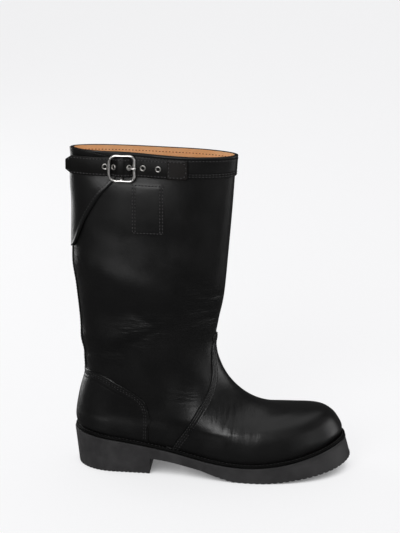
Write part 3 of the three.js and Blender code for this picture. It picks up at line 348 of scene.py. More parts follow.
# Creases and swells of the leather, as soft troughs (depth below 0) and ridges on the surface.
# x and length are shares of COLLAR_LENGTH, z of INSTEP_HEIGHT, angle in degrees in the side view,
# width and depth in mm. side is -1 outer, 1 inner, 0 both.
CREASES = table(
    ("x", "z", "angle", "length", "width", "depth", "side"),
    [
        (0.29, 2.3, -17, 0.66, 17, 3.0, -1),
        (0.42, 2.78, -12, 0.6, 18, -1.2, -1),
        (0.3, 1.9, 6, 0.5, 15, -1.5, -1),
        (0.7, 2.3, 82, 0.7, 16, 0.9, -1),
        (0.2, 3.4, -4, 0.7, 17, 1.5, -1),
        (0.44, 1.86, -32, 0.2, 4.4, -0.6, -1),
        (0.47, 1.67, 26, 0.22, 4.4, -0.6, -1),
        (0.39, 1.56, 4, 0.18, 4.4, -0.35, -1),
        (0.8, 1.95, -6, 0.2, 4.0, -0.5, -1),
        (0.81, 1.83, 5, 0.22, 4.2, -0.6, -1),
        (0.87, 2.1, -4, 0.14, 3.6, -0.35, -1),
        (0.17, 1.42, 14, 0.3, 6.0, -0.7, -1),
        (0.16, 1.56, 8, 0.34, 9.0, 1.2, -1),
        (0.1, 2.34, 4, 0.14, 3.2, -0.3, -1),
        (0.1, 2.2, -4, 0.14, 3.2, -0.3, -1),
        (0.74, 0.66, 0, 0.62, 16, 0.9, -1),
        (0.74, 0.81, 0, 0.62, 22, 1.6, -1),
        (0.79, 0.86, 76, 0.4, 12, 1.3, -1),
        (0.56, 1.0, 76, 0.4, 13, -1.4, -1),
        (0.4, 2.15, 12, 0.6, 18, 2.2, 1),
        (0.45, 1.78, -18, 0.22, 3.8, -0.9, 1),
        (0.5, 1.6, 14, 0.22, 3.6, -0.9, 1),
        (0.7, 0.95, 70, 0.34, 10, 1.1, 1),
        (0.94, 0.6, 72, 0.16, 3.4, -0.3, 0),
        (1.0, 0.62, 80, 0.2, 3.4, -0.35, 0),
        (1.06, 0.6, 98, 0.2, 3.4, -0.35, 0),
        (1.12, 0.58, 84, 0.16, 3.4, -0.3, 0),
    ],
)
PULL_STRAP_SWELL = 0.35
SWELL_EDGE = 4


def relief(points):
    """How far the leather stands in or out of the last's own surface."""
    lift = np.zeros(points.shape[:-1])
    sides = np.sign(points[..., 1])
    for i in range(len(CREASES["x"])):
        angle = math.radians(CREASES["angle"][i])
        dx = points[..., 0] - CREASES["x"][i] * COLLAR_LENGTH
        dz = points[..., 2] - CREASES["z"][i] * INSTEP_HEIGHT
        along = dx * math.cos(angle) + dz * math.sin(angle)
        across = -dx * math.sin(angle) + dz * math.cos(angle)
        half = CREASES["length"][i] * COLLAR_LENGTH / 2
        fall = np.exp(-((across / CREASES["width"][i]) ** 2) - (along / half) ** 4)
        side = CREASES["side"][i]
        shown = 1.0 if side == 0 else np.where(sides == side, 1.0, 0.0)
        lift = lift + CREASES["depth"][i] * fall * shown
    return lift + pull_strap_swell(points)


def pull_strap_swell(points):
    """The pull strap inside shows through the shaft as a low rectangle."""
    middle = COLLAR_LENGTH * PULL_STRAP_AT
    top = collar_z(middle) - PULL_STRAP_TOP
    aside = PULL_STRAP_WIDTH / 2 - np.abs(points[..., 0] - middle)
    inside = np.minimum(top - points[..., 2], points[..., 2] - top + PULL_STRAP_HEIGHT)
    return PULL_STRAP_SWELL * eased(np.minimum(aside, inside) / SWELL_EDGE + 0.5)


def skin_point(turn, height, lift=0.0):
    """A point over the creased leather, at a lift in mm."""
    point = surface_point(turn, height)
    normal = surface_normal(turn, height)
    level = (np.asarray(height) + np.zeros(point.shape[:-1])) >= COLLAR_RING - RIM_LEVEL
    normal[..., 2] = np.where(level, 0, normal[..., 2])
    normal = unit(normal)
    rise = np.asarray(lift) + relief(point) * np.clip((COLLAR_RING - height) / RELIEF_FADE, 0, 1)
    return point + normal * (rise + np.zeros(point.shape[:-1]))[..., None]


# Where the boot's own layout lies in the row's frame
SHIFT = np.array(
    [
        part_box("upper")[0].x * 1000 - RINGS["backX"][-1],
        (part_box("back_strip")[0].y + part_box("back_strip")[1].y) * 500,
        0.0,
    ]
)


def to_row(points):
    return (np.asarray(points, float) + SHIFT) / 1000


# Materials


class Nodes:
    """A material's node tree, with short calls to add and join nodes."""

    def __init__(self, name):
        self.material = bpy.data.materials.new(name)
        self.material.use_nodes = True
        self.tree = self.material.node_tree
        self.shader = self.tree.nodes["Principled BSDF"]
        self.place = self.tree.nodes.new("ShaderNodeTexCoord").outputs["Object"]

    def add(self, kind, inputs=None, **settings):
        node = self.tree.nodes.new(kind)
        for key, value in settings.items():
            setattr(node, key, value)
        for key, value in (inputs or {}).items():
            self.put(node.inputs[key], value)
        return node

    def put(self, socket, value):
        if isinstance(value, bpy.types.NodeSocket):
            self.tree.links.new(value, socket)
        else:
            socket.default_value = value

    def set(self, **values):
        for key, value in values.items():
            self.put(self.shader.inputs[key.replace("_", " ")], value)

    def noise(self, scale, detail=3.0, rough=0.55, place=None):
        inputs = {"Vector": place or self.place, "Scale": scale, "Detail": detail, "Roughness": rough}
        return self.add("ShaderNodeTexNoise", inputs).outputs["Fac"]

    def cells(self, scale):
        return self.add("ShaderNodeTexVoronoi", {"Vector": self.place, "Scale": scale}).outputs["Distance"]

    def stretched(self, x, y, z, turn=0.0):
        inputs = {"Vector": self.place, "Scale": (x, y, z), "Rotation": (0, turn, 0)}
        return self.add("ShaderNodeMapping", inputs).outputs["Vector"]

    def ramp(self, value, low, high, to_low=0.0, to_high=1.0):
        inputs = {"Value": value, "From Min": low, "From Max": high, "To Min": to_low, "To Max": to_high}
        return self.add("ShaderNodeMapRange", inputs, interpolation_type="SMOOTHSTEP").outputs["Result"]

    def math(self, operation, a, b):
        return self.add("ShaderNodeMath", {0: a, 1: b}, operation=operation).outputs["Value"]

    def mix(self, share, a, b):
        node = self.add("ShaderNodeMix", {"Factor": share}, data_type="RGBA")
        self.put(node.inputs[6], a)
        self.put(node.inputs[7], b)
        return node.outputs[2]

    def mask(self, name):
        return self.add("ShaderNodeAttribute", attribute_name=name).outputs["Fac"]

    def bump(self, height, distance, strength=1.0, normal=None):
        inputs = {"Height": height, "Distance": distance, "Strength": strength}
        node = self.add("ShaderNodeBump", inputs)
        if normal is not None:
            self.put(node.inputs["Normal"], normal)
        return node.outputs["Normal"]


def rgb(red, green, blue):
    return (red, green, blue, 1.0)


def leather(name, dark, light, rough_low, rough_high, wrinkles=True, gloss=0.5):
    """Smooth black leather: fine grain, soft cloudy gloss and, where the mask says, small wrinkles."""
    n = Nodes(name)
    cloud = n.noise(14, 3, 0.5)
    colour = n.mix(n.ramp(cloud, 0.35, 0.7), dark, light)
    grain = n.math("ADD", n.cells(1500), n.math("MULTIPLY", n.noise(900, 3), 0.6))
    normal = n.bump(grain, 0.0002, 0.3)
    normal = n.bump(n.noise(24, 2, 0.45), 0.0009, 0.6, normal)
    if wrinkles:
        fine = n.noise(1.0, 1.6, 0.45, n.stretched(70, 80, 330, 0.1))
        normal = n.bump(n.math("MULTIPLY", fine, n.mask("across")), 0.0008, 0.95, normal)
        upright = n.noise(1.0, 1.6, 0.45, n.stretched(320, 110, 60, 0.2))
        normal = n.bump(n.math("MULTIPLY", upright, n.mask("upright")), 0.0006, 0.6, normal)
    roughness = n.ramp(n.noise(38, 4, 0.6), 0.3, 0.72, rough_low, rough_high)
    n.set(Base_Color=colour, Roughness=roughness, Normal=normal, Specular_IOR_Level=gloss)
    return n.material


def lining_leather():
    n = Nodes("lining_leather")
    cloud = n.noise(30, 4, 0.6)
    colour = n.mix(n.ramp(cloud, 0.3, 0.72), rgb(0.88, 0.48, 0.22), rgb(0.97, 0.61, 0.33))
    grain = n.math("ADD", n.cells(1100), n.noise(500, 4))
    n.set(Base_Color=colour, Roughness=n.ramp(cloud, 0.3, 0.7, 0.55, 0.75))
    n.set(Normal=n.bump(grain, 0.0003, 0.4))
    return n.material


def rubber():
    n = Nodes("sole_rubber")
    cloud = n.noise(45, 5, 0.65)
    colour = n.mix(n.ramp(cloud, 0.3, 0.75), rgb(0.024, 0.023, 0.024), rgb(0.037, 0.036, 0.037))
    lines = n.noise(1.0, 2, 0.5, n.stretched(30, 30, 900))
    normal = n.bump(lines, 0.0002, 0.25)
    normal = n.bump(n.noise(1400, 3), 0.00015, 0.5, normal)
    n.set(Base_Color=colour, Roughness=n.ramp(n.noise(90, 4), 0.3, 0.7, 0.44, 0.62), Normal=normal)
    n.set(Specular_IOR_Level=0.4)
    return n.material


def thread(name, colour):
    n = Nodes(name)
    twist = n.noise(1.0, 2, 0.5, n.stretched(2500, 2500, 2500))
    n.set(Base_Color=colour, Roughness=n.ramp(twist, 0.3, 0.7, 0.5, 0.72))
    n.set(Normal=n.bump(twist, 0.0001, 0.5))
    return n.material


def metal(name, colour, low, high):
    n = Nodes(name)
    scratch = n.noise(1.0, 4, 0.6, n.stretched(300, 300, 1600, 0.5))
    n.set(Base_Color=colour, Metallic=1.0, Roughness=n.ramp(scratch, 0.3, 0.75, low, high))
    n.set(Normal=n.bump(scratch, 0.00002, 0.12))
    return n.material


def welt_leather():
    n = Nodes("welt_leather")
    cloud = n.ramp(n.noise(60, 4), 0.3, 0.7)
    # Base colour a little darker than the upper's: black leather with painted shade, as the ledge lies under
    # the upper's bulge
    n.set(Base_Color=n.mix(cloud, rgb(0.0016, 0.0016, 0.0016), rgb(0.0035, 0.0035, 0.0035)))
    n.set(Roughness=n.ramp(n.noise(200, 3), 0.3, 0.7, 0.45, 0.62))
    n.set(Normal=n.bump(n.noise(700, 4), 0.0002, 0.5), Specular_IOR_Level=0.1)
    return n.material


UPPER_LEATHER = leather(
    "upper_leather", rgb(0.0022, 0.0022, 0.0023), rgb(0.004, 0.0039, 0.004), 0.3, 0.4
)
STRAP_LEATHER = leather(
    "strap_leather", rgb(0.0022, 0.002, 0.002), rgb(0.0042, 0.004, 0.0038), 0.36, 0.48, False, 0.28
)
PATCH_LEATHER = leather(
    "patch_leather", rgb(0.0055, 0.0046, 0.0042), rgb(0.009, 0.0075, 0.0068), 0.38, 0.5, False, 0.3
)
LINING = lining_leather()
RUBBER = rubber()
SHADED_WELT = welt_leather()
# The black threads are lighter than the leather: their own black with a painted highlight of the lit thread
# tops; the second, lighter thread carries more of it
BLACK_THREAD = thread("black_thread", rgb(0.026, 0.025, 0.026))
HIGHLIT_THREAD = thread("black_thread_painted_highlight", rgb(0.042, 0.04, 0.042))
RED_THREAD = thread("red_brown_thread", rgb(0.2, 0.045, 0.015))
# Painted shade: near-black for flat discs that stand in for the dark inside of needle holes
HOLE_SHADE = thread("needle_hole_painted_shade", rgb(0.0008, 0.0008, 0.0008))
NICKEL = metal("nickel", rgb(0.86, 0.84, 0.82), 0.27, 0.38)
DARK_NICKEL = metal("eyelet_nickel", rgb(0.74, 0.72, 0.69), 0.28, 0.42)


# Meshes


def make_object(name, points, faces, materials, slot, node=None, pick=None, sharp=40, wrinkled=False):
    """A smooth-shaded piece in the row frame, which rides on the one body."""
    points = np.reshape(points, (-1, 3))
    mesh = bpy.data.meshes.new(name)
    mesh.from_pydata(to_row(points).tolist(), [], faces)
    for material in materials:
        mesh.materials.append(material)
    if pick is not None:
        mesh.polygons.foreach_set("material_index", np.asarray(pick, np.int32))
    for mask, values in (wrinkle_masks(points) if wrinkled else {}).items():
        attribute = mesh.attributes.new(mask, "FLOAT", "POINT")
        attribute.data.foreach_set("value", np.asarray(values, np.float32))
    work = bmesh.new()
    work.from_mesh(mesh)
    bmesh.ops.remove_doubles(work, verts=work.verts, dist=2e-6)
    bmesh.ops.dissolve_degenerate(work, edges=work.edges, dist=1e-7)
    bmesh.ops.recalc_face_normals(work, faces=work.faces)
    work.to_mesh(mesh)
    work.free()
    mesh.shade_smooth()
    mesh.set_sharp_from_angle(angle=math.radians(sharp))
    piece = bpy.data.objects.new(name, mesh)
    bpy.context.scene.collection.objects.link(piece)
    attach(piece, "root")
    if node:
        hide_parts(node)


def lattice(loops, size, closed):
    """Faces of a lattice of loops with size points each; each loop is closed on itself."""
    i = np.arange(loops if closed else loops - 1)[:, None]
    j = np.arange(size)[None, :]
    after = (i + 1) % loops
    beside = (j + 1) % size
    corners = [i * size + j, after * size + j, after * size + beside, i * size + beside]
    faces = np.stack([c + np.zeros_like(i * size + j) for c in corners], -1).reshape(-1, 4).tolist()
    if not closed:
        faces.append(list(range(size)))
        faces.append(list(range((loops - 1) * size, loops * size))[::-1])
    return faces


def make_lofted(name, loops, closed, materials, slot, node=None, **more):
    """A piece from an array of loops, each joined to the next."""
    make_object(name, loops, lattice(*loops.shape[:2], closed), materials, slot, node, **more)


def join_meshes(parts):
    points, faces, start = [], [], 0
    for part_points, part_faces in parts:
        points.append(part_points)
        faces.extend([[start + v for v in face] for face in part_faces])
        start += len(part_points)
    return np.concatenate(points), faces


# Small wrinkles: x and wide as shares of COLLAR_LENGTH, z and tall of INSTEP_HEIGHT, and strength
WRINKLE_SPOTS = {
    "across": [
        (0.44, 1.75, 0.16, 0.22, 0.9),
        (0.8, 1.92, 0.14, 0.34, 0.9),
        (0.16, 1.42, 0.16, 0.14, 0.7),
        (0.1, 2.28, 0.1, 0.24, 0.7),
        (0.43, 0.91, 0.12, 0.1, 0.6),
        (0.72, 0.94, 0.12, 0.1, 0.6),
    ],
    "upright": [(1.0, 0.68, 0.16, 0.26, 1.0)],
}


def wrinkle_masks(points):
    """How strongly each kind of small wrinkle shows at each point."""
    masks = {}
    for name, rows in WRINKLE_SPOTS.items():
        value = np.zeros(points.shape[:-1])
        for x, z, wide, tall, strength in rows:
            dx = (points[..., 0] - x * COLLAR_LENGTH) / (wide * COLLAR_LENGTH)
            dz = (points[..., 2] - z * INSTEP_HEIGHT) / (tall * INSTEP_HEIGHT)
            value = np.maximum(value, strength * np.exp(-(dx**2) - dz**2))
        masks[name] = value
    return masks


# Upper and the leather laid on it


def upper_heights(rows):
    """Heights that set rows of the upper evenly apart where it is longest."""
    fine = np.linspace(0, COLLAR_RING, SPACING_SAMPLES)
    steps = np.zeros(len(fine) - 1)
    for turn in SPACING_TURNS:
        steps = np.maximum(steps, np.linalg.norm(np.diff(surface_point(turn, fine), axis=0), axis=1))
    reach = np.concatenate([[0], np.cumsum(steps)])
    return np.interp(np.linspace(0, reach[-1], rows), reach, fine)


def make_upper():
    """The leather outside and the lining inside, in loops from the feather line over the rim."""
    turns = np.arange(AROUND) / AROUND
    turn, height = np.meshgrid(turns, upper_heights(OUTSIDE_ROWS), indexing="ij")
    lift = np.zeros_like(height)
    lift[:, -1] = -RIM_ROUNDING
    outside = skin_point(turn, height, lift)
    outside[:, -2, 2] = np.minimum(outside[:, -2, 2], outside[:, -1, 2] - RIM_ROUNDING)
    turn, height = np.meshgrid(turns, upper_heights(INSIDE_ROWS)[::-1], indexing="ij")
    inside = skin_point(turn, height, -WALL)
    loops = np.concatenate([outside, inside], axis=1)
    size = loops.shape[1]
    column = np.arange(AROUND * size) % size
    pick = np.where((column >= OUTSIDE_ROWS) & (column < size - 1), 1, 0)
    make_lofted("boot_upper", loops, True, [UPPER_LEATHER, LINING], "upper_leather", "upper",
                pick=pick, wrinkled=True)


# Distances of mesh rows from an overlay's edges, in mm
NEAR_EDGE = (0.0, 0.12, 0.35, 0.7, 1.1, 1.7, 2.4, 3.2, 4.2, 5.4)
NEAR_STITCHED = (0.0, 0.12, 0.35, 0.7, 1.1, 1.7, 2.3, 2.8, 3.2, 3.6, 4.2, 4.8, 5.4, 6.0, 6.8)
NEAR_SEAM = (0.0, 0.12, 0.35, 0.7, 1.1, 1.6)
NEAR_STRIP = (0.0, 0.1, 0.3, 0.6, 1.0)
SUNK = -0.25  # undersides of overlays lie a little in the upper
EDGE_RADIUS = 0.9
GROOVE_DEPTH = 0.32
GROOVE_WIDTH = 0.6
LOWEST_ROW = 0.02
PATH_POINTS = 110

# Stitch rows, in mm from the edge that they follow
COUNTER_ROWS = (3.2, 5.4)
SEAM_ROWS = (1.9, 4.2, 6.9)
BAND_TOP_ROW = 3.2
BAND_LOW_ROWS = (2.0, 4.2)
WING_ROW = 3.8
STRIP_ROW = 1.3
PULL_ROW = 2

COUNTER_SHOWN = 0.9
COUNTER_RADIUS = 0.4
LOW_EDGE_EVENING = 0.06  # sets the counter's mesh lines upright round the heel

SEAM_SPREAD = 9
SEAM_RISE = 1.7
SEAM_RADIUS = 0.7
SEAM_FADE = 0.85
SEAM_BEAD = 0.35
BEAD_AT = 0.9
SEAM_TOP_HEIGHT = 1.6  # over the instep, as a share of INSTEP_HEIGHT
OVER_POINTS = 14
THIN_OVER_INSTEP = 0.6
THIN_REACH = 0.035

STRIP_RADIUS = 0.6
STRIP_POINTS = 260

BAND_BACK_TURN = 0.485
BAND_BACK_SHARE = 0.07
BAND_FULL_FROM = 0.3  # share of the collar's length where the wing's front edge ends
BAND_POINTS = 460
BAND_RADIUS = 0.8
RIM_RADIUS = 1.1
THIN_BAND = 0.45  # how much thinner the band is above the wing

PULL_RADIUS = 0.8
PULL_END = 0.03  # share of a pull strap's height over which its ends thin out

WING_BACK_TURN = 0.4905
WING_POINTS = 150
WING_BACK_BUNCHING = 1.4
WING_STAND_REACH = 18
WING_FOLD = 0.45
FOLD_AT = 1.6
FOLD_FROM = 0.42
WING_STAND = table(
    ("along", "stand"),
    [
        (0.0, 0.3), (0.08, 0.9), (0.22, 0.9), (0.29, 0.15), (0.42, 0.15),
        (0.55, 1.2), (0.85, 1.5), (0.97, 1.0), (1.0, 0.8),
    ],
)


def spaced(lengths, near, between):
    """For each line's length: distances from its start, close together near both ends."""
    reach = near[-1]
    scale = np.minimum(1, lengths / (3 * reach))[:, None]
    first = scale * np.array(near)[None, :]
    middle = np.linspace(0, 1, between + 2)[None, 1:-1]
    inner = scale * reach + (lengths[:, None] - 2 * scale * reach) * middle
    last = lengths[:, None] - first[:, ::-1]
    return np.concatenate([first, inner, last], axis=1)


def overlay(name, node, first, last, lift_at, under_at=None, between=24, near=NEAR_EDGE,
            material=UPPER_LEATHER, slot="upper_leather"):
    """A piece of leather on the upper, between two paths of turn and height. lift_at gives its
    height over the upper from the distances to the two paths and the place along them, and
    under_at that of its underside."""
    ends = surface_point(first[:, 0], first[:, 1]) - surface_point(last[:, 0], last[:, 1])
    lengths = np.maximum(np.linalg.norm(ends, axis=1), 1e-3)
    away = spaced(lengths, near, between)
    share = (away / lengths[:, None])[..., None]
    grid = first[:, None] * (1 - share) + last[:, None] * share
    along = np.linspace(0, 1, len(first))[:, None] + np.zeros_like(away)
    rest = lengths[:, None] - away
    top = skin_point(grid[..., 0], grid[..., 1], lift_at(away, rest, along))
    under = np.full_like(away, SUNK) if under_at is None else under_at(away, rest, along)
    bottom = skin_point(grid[..., 0], grid[..., 1], under)
    loops = np.concatenate([top, bottom[:, ::-1]], axis=1)
    make_lofted(name, loops, False, [material], slot, node, wrinkled=material is UPPER_LEATHER)


def edge_round(away, radius=EDGE_RADIUS):
    """How far a rounded leather edge has risen, 0 to 1, from the distance to it."""
    inside = np.clip(away / radius, 0, 1)
    return np.sqrt(np.maximum(0, 1 - (1 - inside) ** 2))


def grooves(away, rows):
    """Depth of the soft grooves that rows of stitches pull into the leather."""
    return sum(GROOVE_DEPTH * hill(away, row, GROOVE_WIDTH) for row in rows)


def path_of(rows, count=PATH_POINTS):
    """A smooth path of turn and height through rows of side-view shares, on the outer side."""
    rows = np.array(rows, float) * [COLLAR_LENGTH, INSTEP_HEIGHT]
    steps = steps_along(rows)
    curve = {"s": steps, "x": rows[:, 0], "z": rows[:, 1]}
    s = np.linspace(0, steps[-1], count)
    return np.stack(place_on_side(smooth_at(curve, "s", "x", s), smooth_at(curve, "s", "z", s)), 1)


def mirrored(path):
    """The same path on the other side."""
    return np.column_stack([1 - path[:, 0], path[:, 1]])


def shifted_path(path, distance):
    """A path of turn and height moved over the surface, to the left of its own direction."""
    here = surface_point(path[:, 0], path[:, 1])
    normal = surface_normal(path[:, 0], path[:, 1])
    aside = unit(np.cross(normal, unit(np.gradient(here, axis=0)))) * distance
    by_turn = surface_point(path[:, 0] + SURFACE_STEP, path[:, 1]) - here
    by_height = surface_point(path[:, 0], path[:, 1] + SURFACE_STEP) - here
    moved = np.zeros_like(path)
    for i in range(len(path)):
        basis = np.stack([by_turn[i], by_height[i]], 1) / SURFACE_STEP
        moved[i] = path[i] + np.linalg.lstsq(basis, aside[i], rcond=None)[0]
    moved[:, 1] = np.clip(moved[:, 1], 0, COLLAR_RING)
    return moved


def make_counter():
    """The overlay round the heel; its upper edge is returned for the stitches."""
    lateral = path_of(COUNTER_EDGE)
    lateral[0, 0] = 0.5
    edge = np.concatenate([lateral[::-1], mirrored(lateral)[1:]])
    edge[:, 1] = np.maximum(edge[:, 1], LOWEST_ROW)
    front = lateral[-1, 0]
    s = np.linspace(0, 1, len(edge))
    low = front + (1 - 2 * front) * (s - LOW_EDGE_EVENING * np.sin(2 * math.pi * s))
    bottom = np.stack([low, np.full(len(edge), LOWEST_ROW)], 1)
    bottom[0, 0], bottom[-1, 0] = front, 1 - front

    def lift(to_edge, to_bottom, along):
        sheet = COUNTER_SHOWN * edge_round(to_edge, COUNTER_RADIUS)
        return GAP / 2 + sheet - grooves(to_edge, COUNTER_ROWS)

    overlay("heel_counter", "counter", edge, bottom, lift, near=NEAR_STITCHED)
    return edge


def seam_path():
    """The vamp seam's back edge: from the outer feather line over the instep to the inner one."""
    lateral = path_of(VAMP_SEAM_LINE)
    over = np.linspace(lateral[0, 0], 0, OVER_POINTS)[1:]
    top = height_where(np.zeros(1), lambda p: p[..., 2] > SEAM_TOP_HEIGHT * INSTEP_HEIGHT)[0]
    arch = np.sin(np.linspace(0, math.pi / 2, OVER_POINTS))[1:]
    rise = lateral[0, 1] + (top - lateral[0, 1]) * arch
    half = np.concatenate([lateral[::-1], np.stack([over, rise], 1)])
    joined = np.concatenate([half, mirrored(half[::-1])[1:]])
    joined[:, 0] = np.where(joined[:, 0] > 0.5, joined[:, 0] - 1, joined[:, 0])
    return joined


def make_vamp_seam():
    """The vamp's edge over the shaft: thick at the back, with stitch rows, fading into the vamp."""
    back = seam_path()

    def lift(to_back, to_front, along):
        over_instep = 1 - THIN_OVER_INSTEP * hill(along, 0.5, THIN_REACH)
        fading = 1 - SEAM_FADE * eased(to_back / SEAM_SPREAD)
        sheet = SEAM_RISE * edge_round(to_back, SEAM_RADIUS) * fading
        bead = SEAM_BEAD * hill(to_back, BEAD_AT, SEAM_RADIUS)
        return (sheet + bead) * over_instep - grooves(to_back, SEAM_ROWS) + GAP * 0.4

    front = shifted_path(back, -SEAM_SPREAD)
    overlay("vamp_edge", "vamp_seam", back, front, lift, between=12, near=NEAR_SEAM)
    return back


def make_back_strip():
    """The strip over the seam at the back of the shaft; its two sides are returned."""
    low = COUNTER_EDGE[0][1] * INSTEP_HEIGHT - 1.0
    bottom = height_where(np.full(1, 0.5), lambda p: p[..., 2] > low)[0]
    heights = np.linspace(bottom, COLLAR_RING - 0.003, STRIP_POINTS)

    def within(turns):
        return -surface_point(turns, heights)[..., 1] <= BACK_STRIP_WIDTH / 2

    turns = halved(np.full_like(heights, 0.3), np.full_like(heights, 0.5), within)
    first = np.stack([turns, heights], 1)
    last = mirrored(first)

    def lift(to_first, to_last, along):
        far_side = np.clip(to_last / STRIP_RADIUS, 0, 1) ** 0.5
        return GAP * 0.6 + STRIP_THICKNESS * edge_round(to_first, STRIP_RADIUS) * far_side

    overlay("back_strip_leather", "back_strip", first, last, lift, between=6, near=NEAR_STRIP)
    return first, last


def turn_at(share):
    """The turn on the outer side, just below the collar, at a share of the collar's length."""
    x = share * COLLAR_LENGTH
    return float(place_on_side(x, collar_z(x) - 5)[0])


def band_path(drop, turns):
    """A line round the collar; drop is how far below the rim, or gives it from the points."""

    def above(points):
        here = drop(points) if callable(drop) else drop
        return points[..., 2] > collar_z(points[..., 0]) - here

    return np.stack([turns, height_where(turns % 1, above)], 1)


def band_drop(points):
    """How far the band reaches down: to its lower edge, or on the outer side to the wing."""
    rows = [(x * COLLAR_LENGTH, max(0.2, drop * WING_DROP - GAP)) for x, drop in WING_EDGE[1:7]]
    xs, drops = np.array(rows + [(BAND_FULL_FROM * COLLAR_LENGTH, BAND_HEIGHT)]).T
    return np.where(points[..., 1] < 0, np.interp(points[..., 0], xs, drops), BAND_HEIGHT)


def make_collar_band():
    """The band from the inner side's back, round the front, to the wing's upper edge."""
    turns = np.linspace(-BAND_BACK_TURN, turn_at(BAND_BACK_SHARE), BAND_POINTS)
    top = np.stack([turns, np.full_like(turns, COLLAR_RING)], 1)
    wing_from = (turn_at(BAND_FULL_FROM) - turns[0]) / (turns[-1] - turns[0])

    def lift(to_rim, to_low, along):
        thin = 1 - THIN_BAND * eased((along - wing_from) / 0.02)
        round_edges = np.minimum(edge_round(to_rim + 0.25, RIM_RADIUS), edge_round(to_low, BAND_RADIUS))
        pulled = (grooves(to_low, BAND_LOW_ROWS) + grooves(to_rim, (BAND_TOP_ROW,))) * (along < wing_from)
        return GAP * 0.6 + round_edges * OVERLAY * thin - pulled

    overlay("collar_band_leather", "collar_band", top, band_path(band_drop, turns), lift, between=8,
            near=NEAR_STITCHED)


def wing_path():
    rows = []
    for x, drop in WING_EDGE:
        rows.append((x, (collar_z(x * COLLAR_LENGTH) - drop * WING_DROP) / INSTEP_HEIGHT))
    return path_of(rows, WING_POINTS)


def make_wing():
    """The flap: a sheet that stands off the shaft along its diagonal edge, which is folded over."""
    edge = wing_path()
    edge[:, 0] = np.minimum(edge[:, 0], WING_BACK_TURN)
    edge[0] = (WING_BACK_TURN, COLLAR_RING)
    share = np.linspace(0, 1, len(edge)) ** WING_BACK_BUNCHING
    back_heights = COLLAR_RING - (COLLAR_RING - edge[-1, 1]) * share
    back = np.stack([np.full(len(edge), WING_BACK_TURN), back_heights], 1)

    def stand(away, along):
        return GAP + smooth_at(WING_STAND, "along", "stand", along) * hill(away, 0, WING_STAND_REACH)

    def lift(away, rest, along):
        fold = WING_FOLD * hill(away, FOLD_AT, 1.0) * eased((along - FOLD_FROM) / 0.08)
        return stand(away, along) + OVERLAY * (1 + edge_round(away)) / 2 + fold

    def under(away, rest, along):
        return stand(away, along) + OVERLAY * (1 - edge_round(away)) / 2

    overlay("wing_leather", "wing", edge, back, lift, under, near=NEAR_STITCHED)


def make_pull_straps():
    middle = COLLAR_LENGTH * PULL_STRAP_AT
    top = collar_z(middle) - PULL_STRAP_TOP
    zs = np.linspace(top, top - PULL_STRAP_HEIGHT, 40)

    def lift(to_left, to_right, along):
        ends = np.clip(np.minimum(along, 1 - along) / PULL_END, 0, 1) ** 0.5
        body = np.minimum(edge_round(to_left, PULL_RADIUS), edge_round(to_right, PULL_RADIUS)) * ends
        return -WALL - GAP * 0.5 - PULL_STRAP_THICKNESS * body

    def under(to_left, to_right, along):
        return np.full_like(to_left, 0.2 - WALL)

    for side, lateral in (("lateral", True), ("medial", False)):
        half = PULL_STRAP_WIDTH / 2
        left, right = (np.stack(place_on_side(middle + aside, zs, lateral), 1) for aside in (-half, half))
        overlay(f"pull_strap_{side}_web", f"pull_strap_{side}", left, right, lift, under, between=8,
                material=LINING, slot="lining")


# Strap and buckle

LAYER_TOP = GAP + OVERLAY
STRAP_LIFT = LAYER_TOP + 2 * GAP
SIDE_BAR_LIFT = STRAP_LIFT + STRAP_THICKNESS + GAP + BUCKLE_WIRE / 2
BAR_CLEARANCE = CENTRE_BAR / 2 + 2 * GAP + max(CHAPE_THICKNESS, PRONG_EYE_WIRE)
CENTRE_BAR_LIFT = LAYER_TOP + BAR_CLEARANCE
STRAP_OVER_BAR = CENTRE_BAR_LIFT + BAR_CLEARANCE
STRAP_POINTS = 260
STRAP_RADIUS = 0.55
STRAP_CROWN = 0.25
STRAP_ROW = 2.0  # the stitch rows' distance from the strap's edges
PATCH_FROM = 0.835
PATCH_CORNER = 4
PATCH_THICKNESS = 0.7
PATCH_OVERHANG = 0.3
PATCH_PAST_END = 0.6
PATCH_LIFT = 0.15
WIRE_SHOWN = 2.95  # the ring's wire looks thinner than its solid
CORNER_SOFTNESS = 1.6
RING_DROP = 1.4  # the ring hangs a little below the strap's middle
RING_POINTS = 140
SIDE_PINCH = 0.25  # the ring's long sides draw in a little over the centre bar
PINCH_REACH = 4.5
BAR_BEND = 3.5
HELD_BY_BUCKLE = 1.05
FREE_OF_BUCKLE = 1.5
EYELET_INSET = 0.15
EYELET_LIP = 0.3
EYELET_CROWN = 0.7


def strap_z(x):
    back = COLLAR_BACK_HEIGHT - STRAP_BELOW_BACK
    front = COLLAR_FRONT_HEIGHT - STRAP_BELOW_FRONT
    return back + x / COLLAR_LENGTH * (front - back)


def beside_shaft(x, across, lift):
    """Places beside the shaft at the strap's level; behind STRAP_LEAVES_X they run straight on."""
    x = np.atleast_1d(np.asarray(x, float))
    across = np.broadcast_to(across, x.shape)
    lift = np.broadcast_to(lift, x.shape)

    def on_shaft(at):
        turn, height = place_on_side(at, strap_z(at) + across)
        return surface_point(turn, height) + surface_normal(turn, height) * lift[..., None]

    near = on_shaft(np.maximum(x, STRAP_LEAVES_X))
    leaving = on_shaft(np.full_like(x, STRAP_LEAVES_X + 1)) - on_shaft(np.full_like(x, STRAP_LEAVES_X))
    return near + leaving * np.minimum(x - STRAP_LEAVES_X, 0)[..., None]


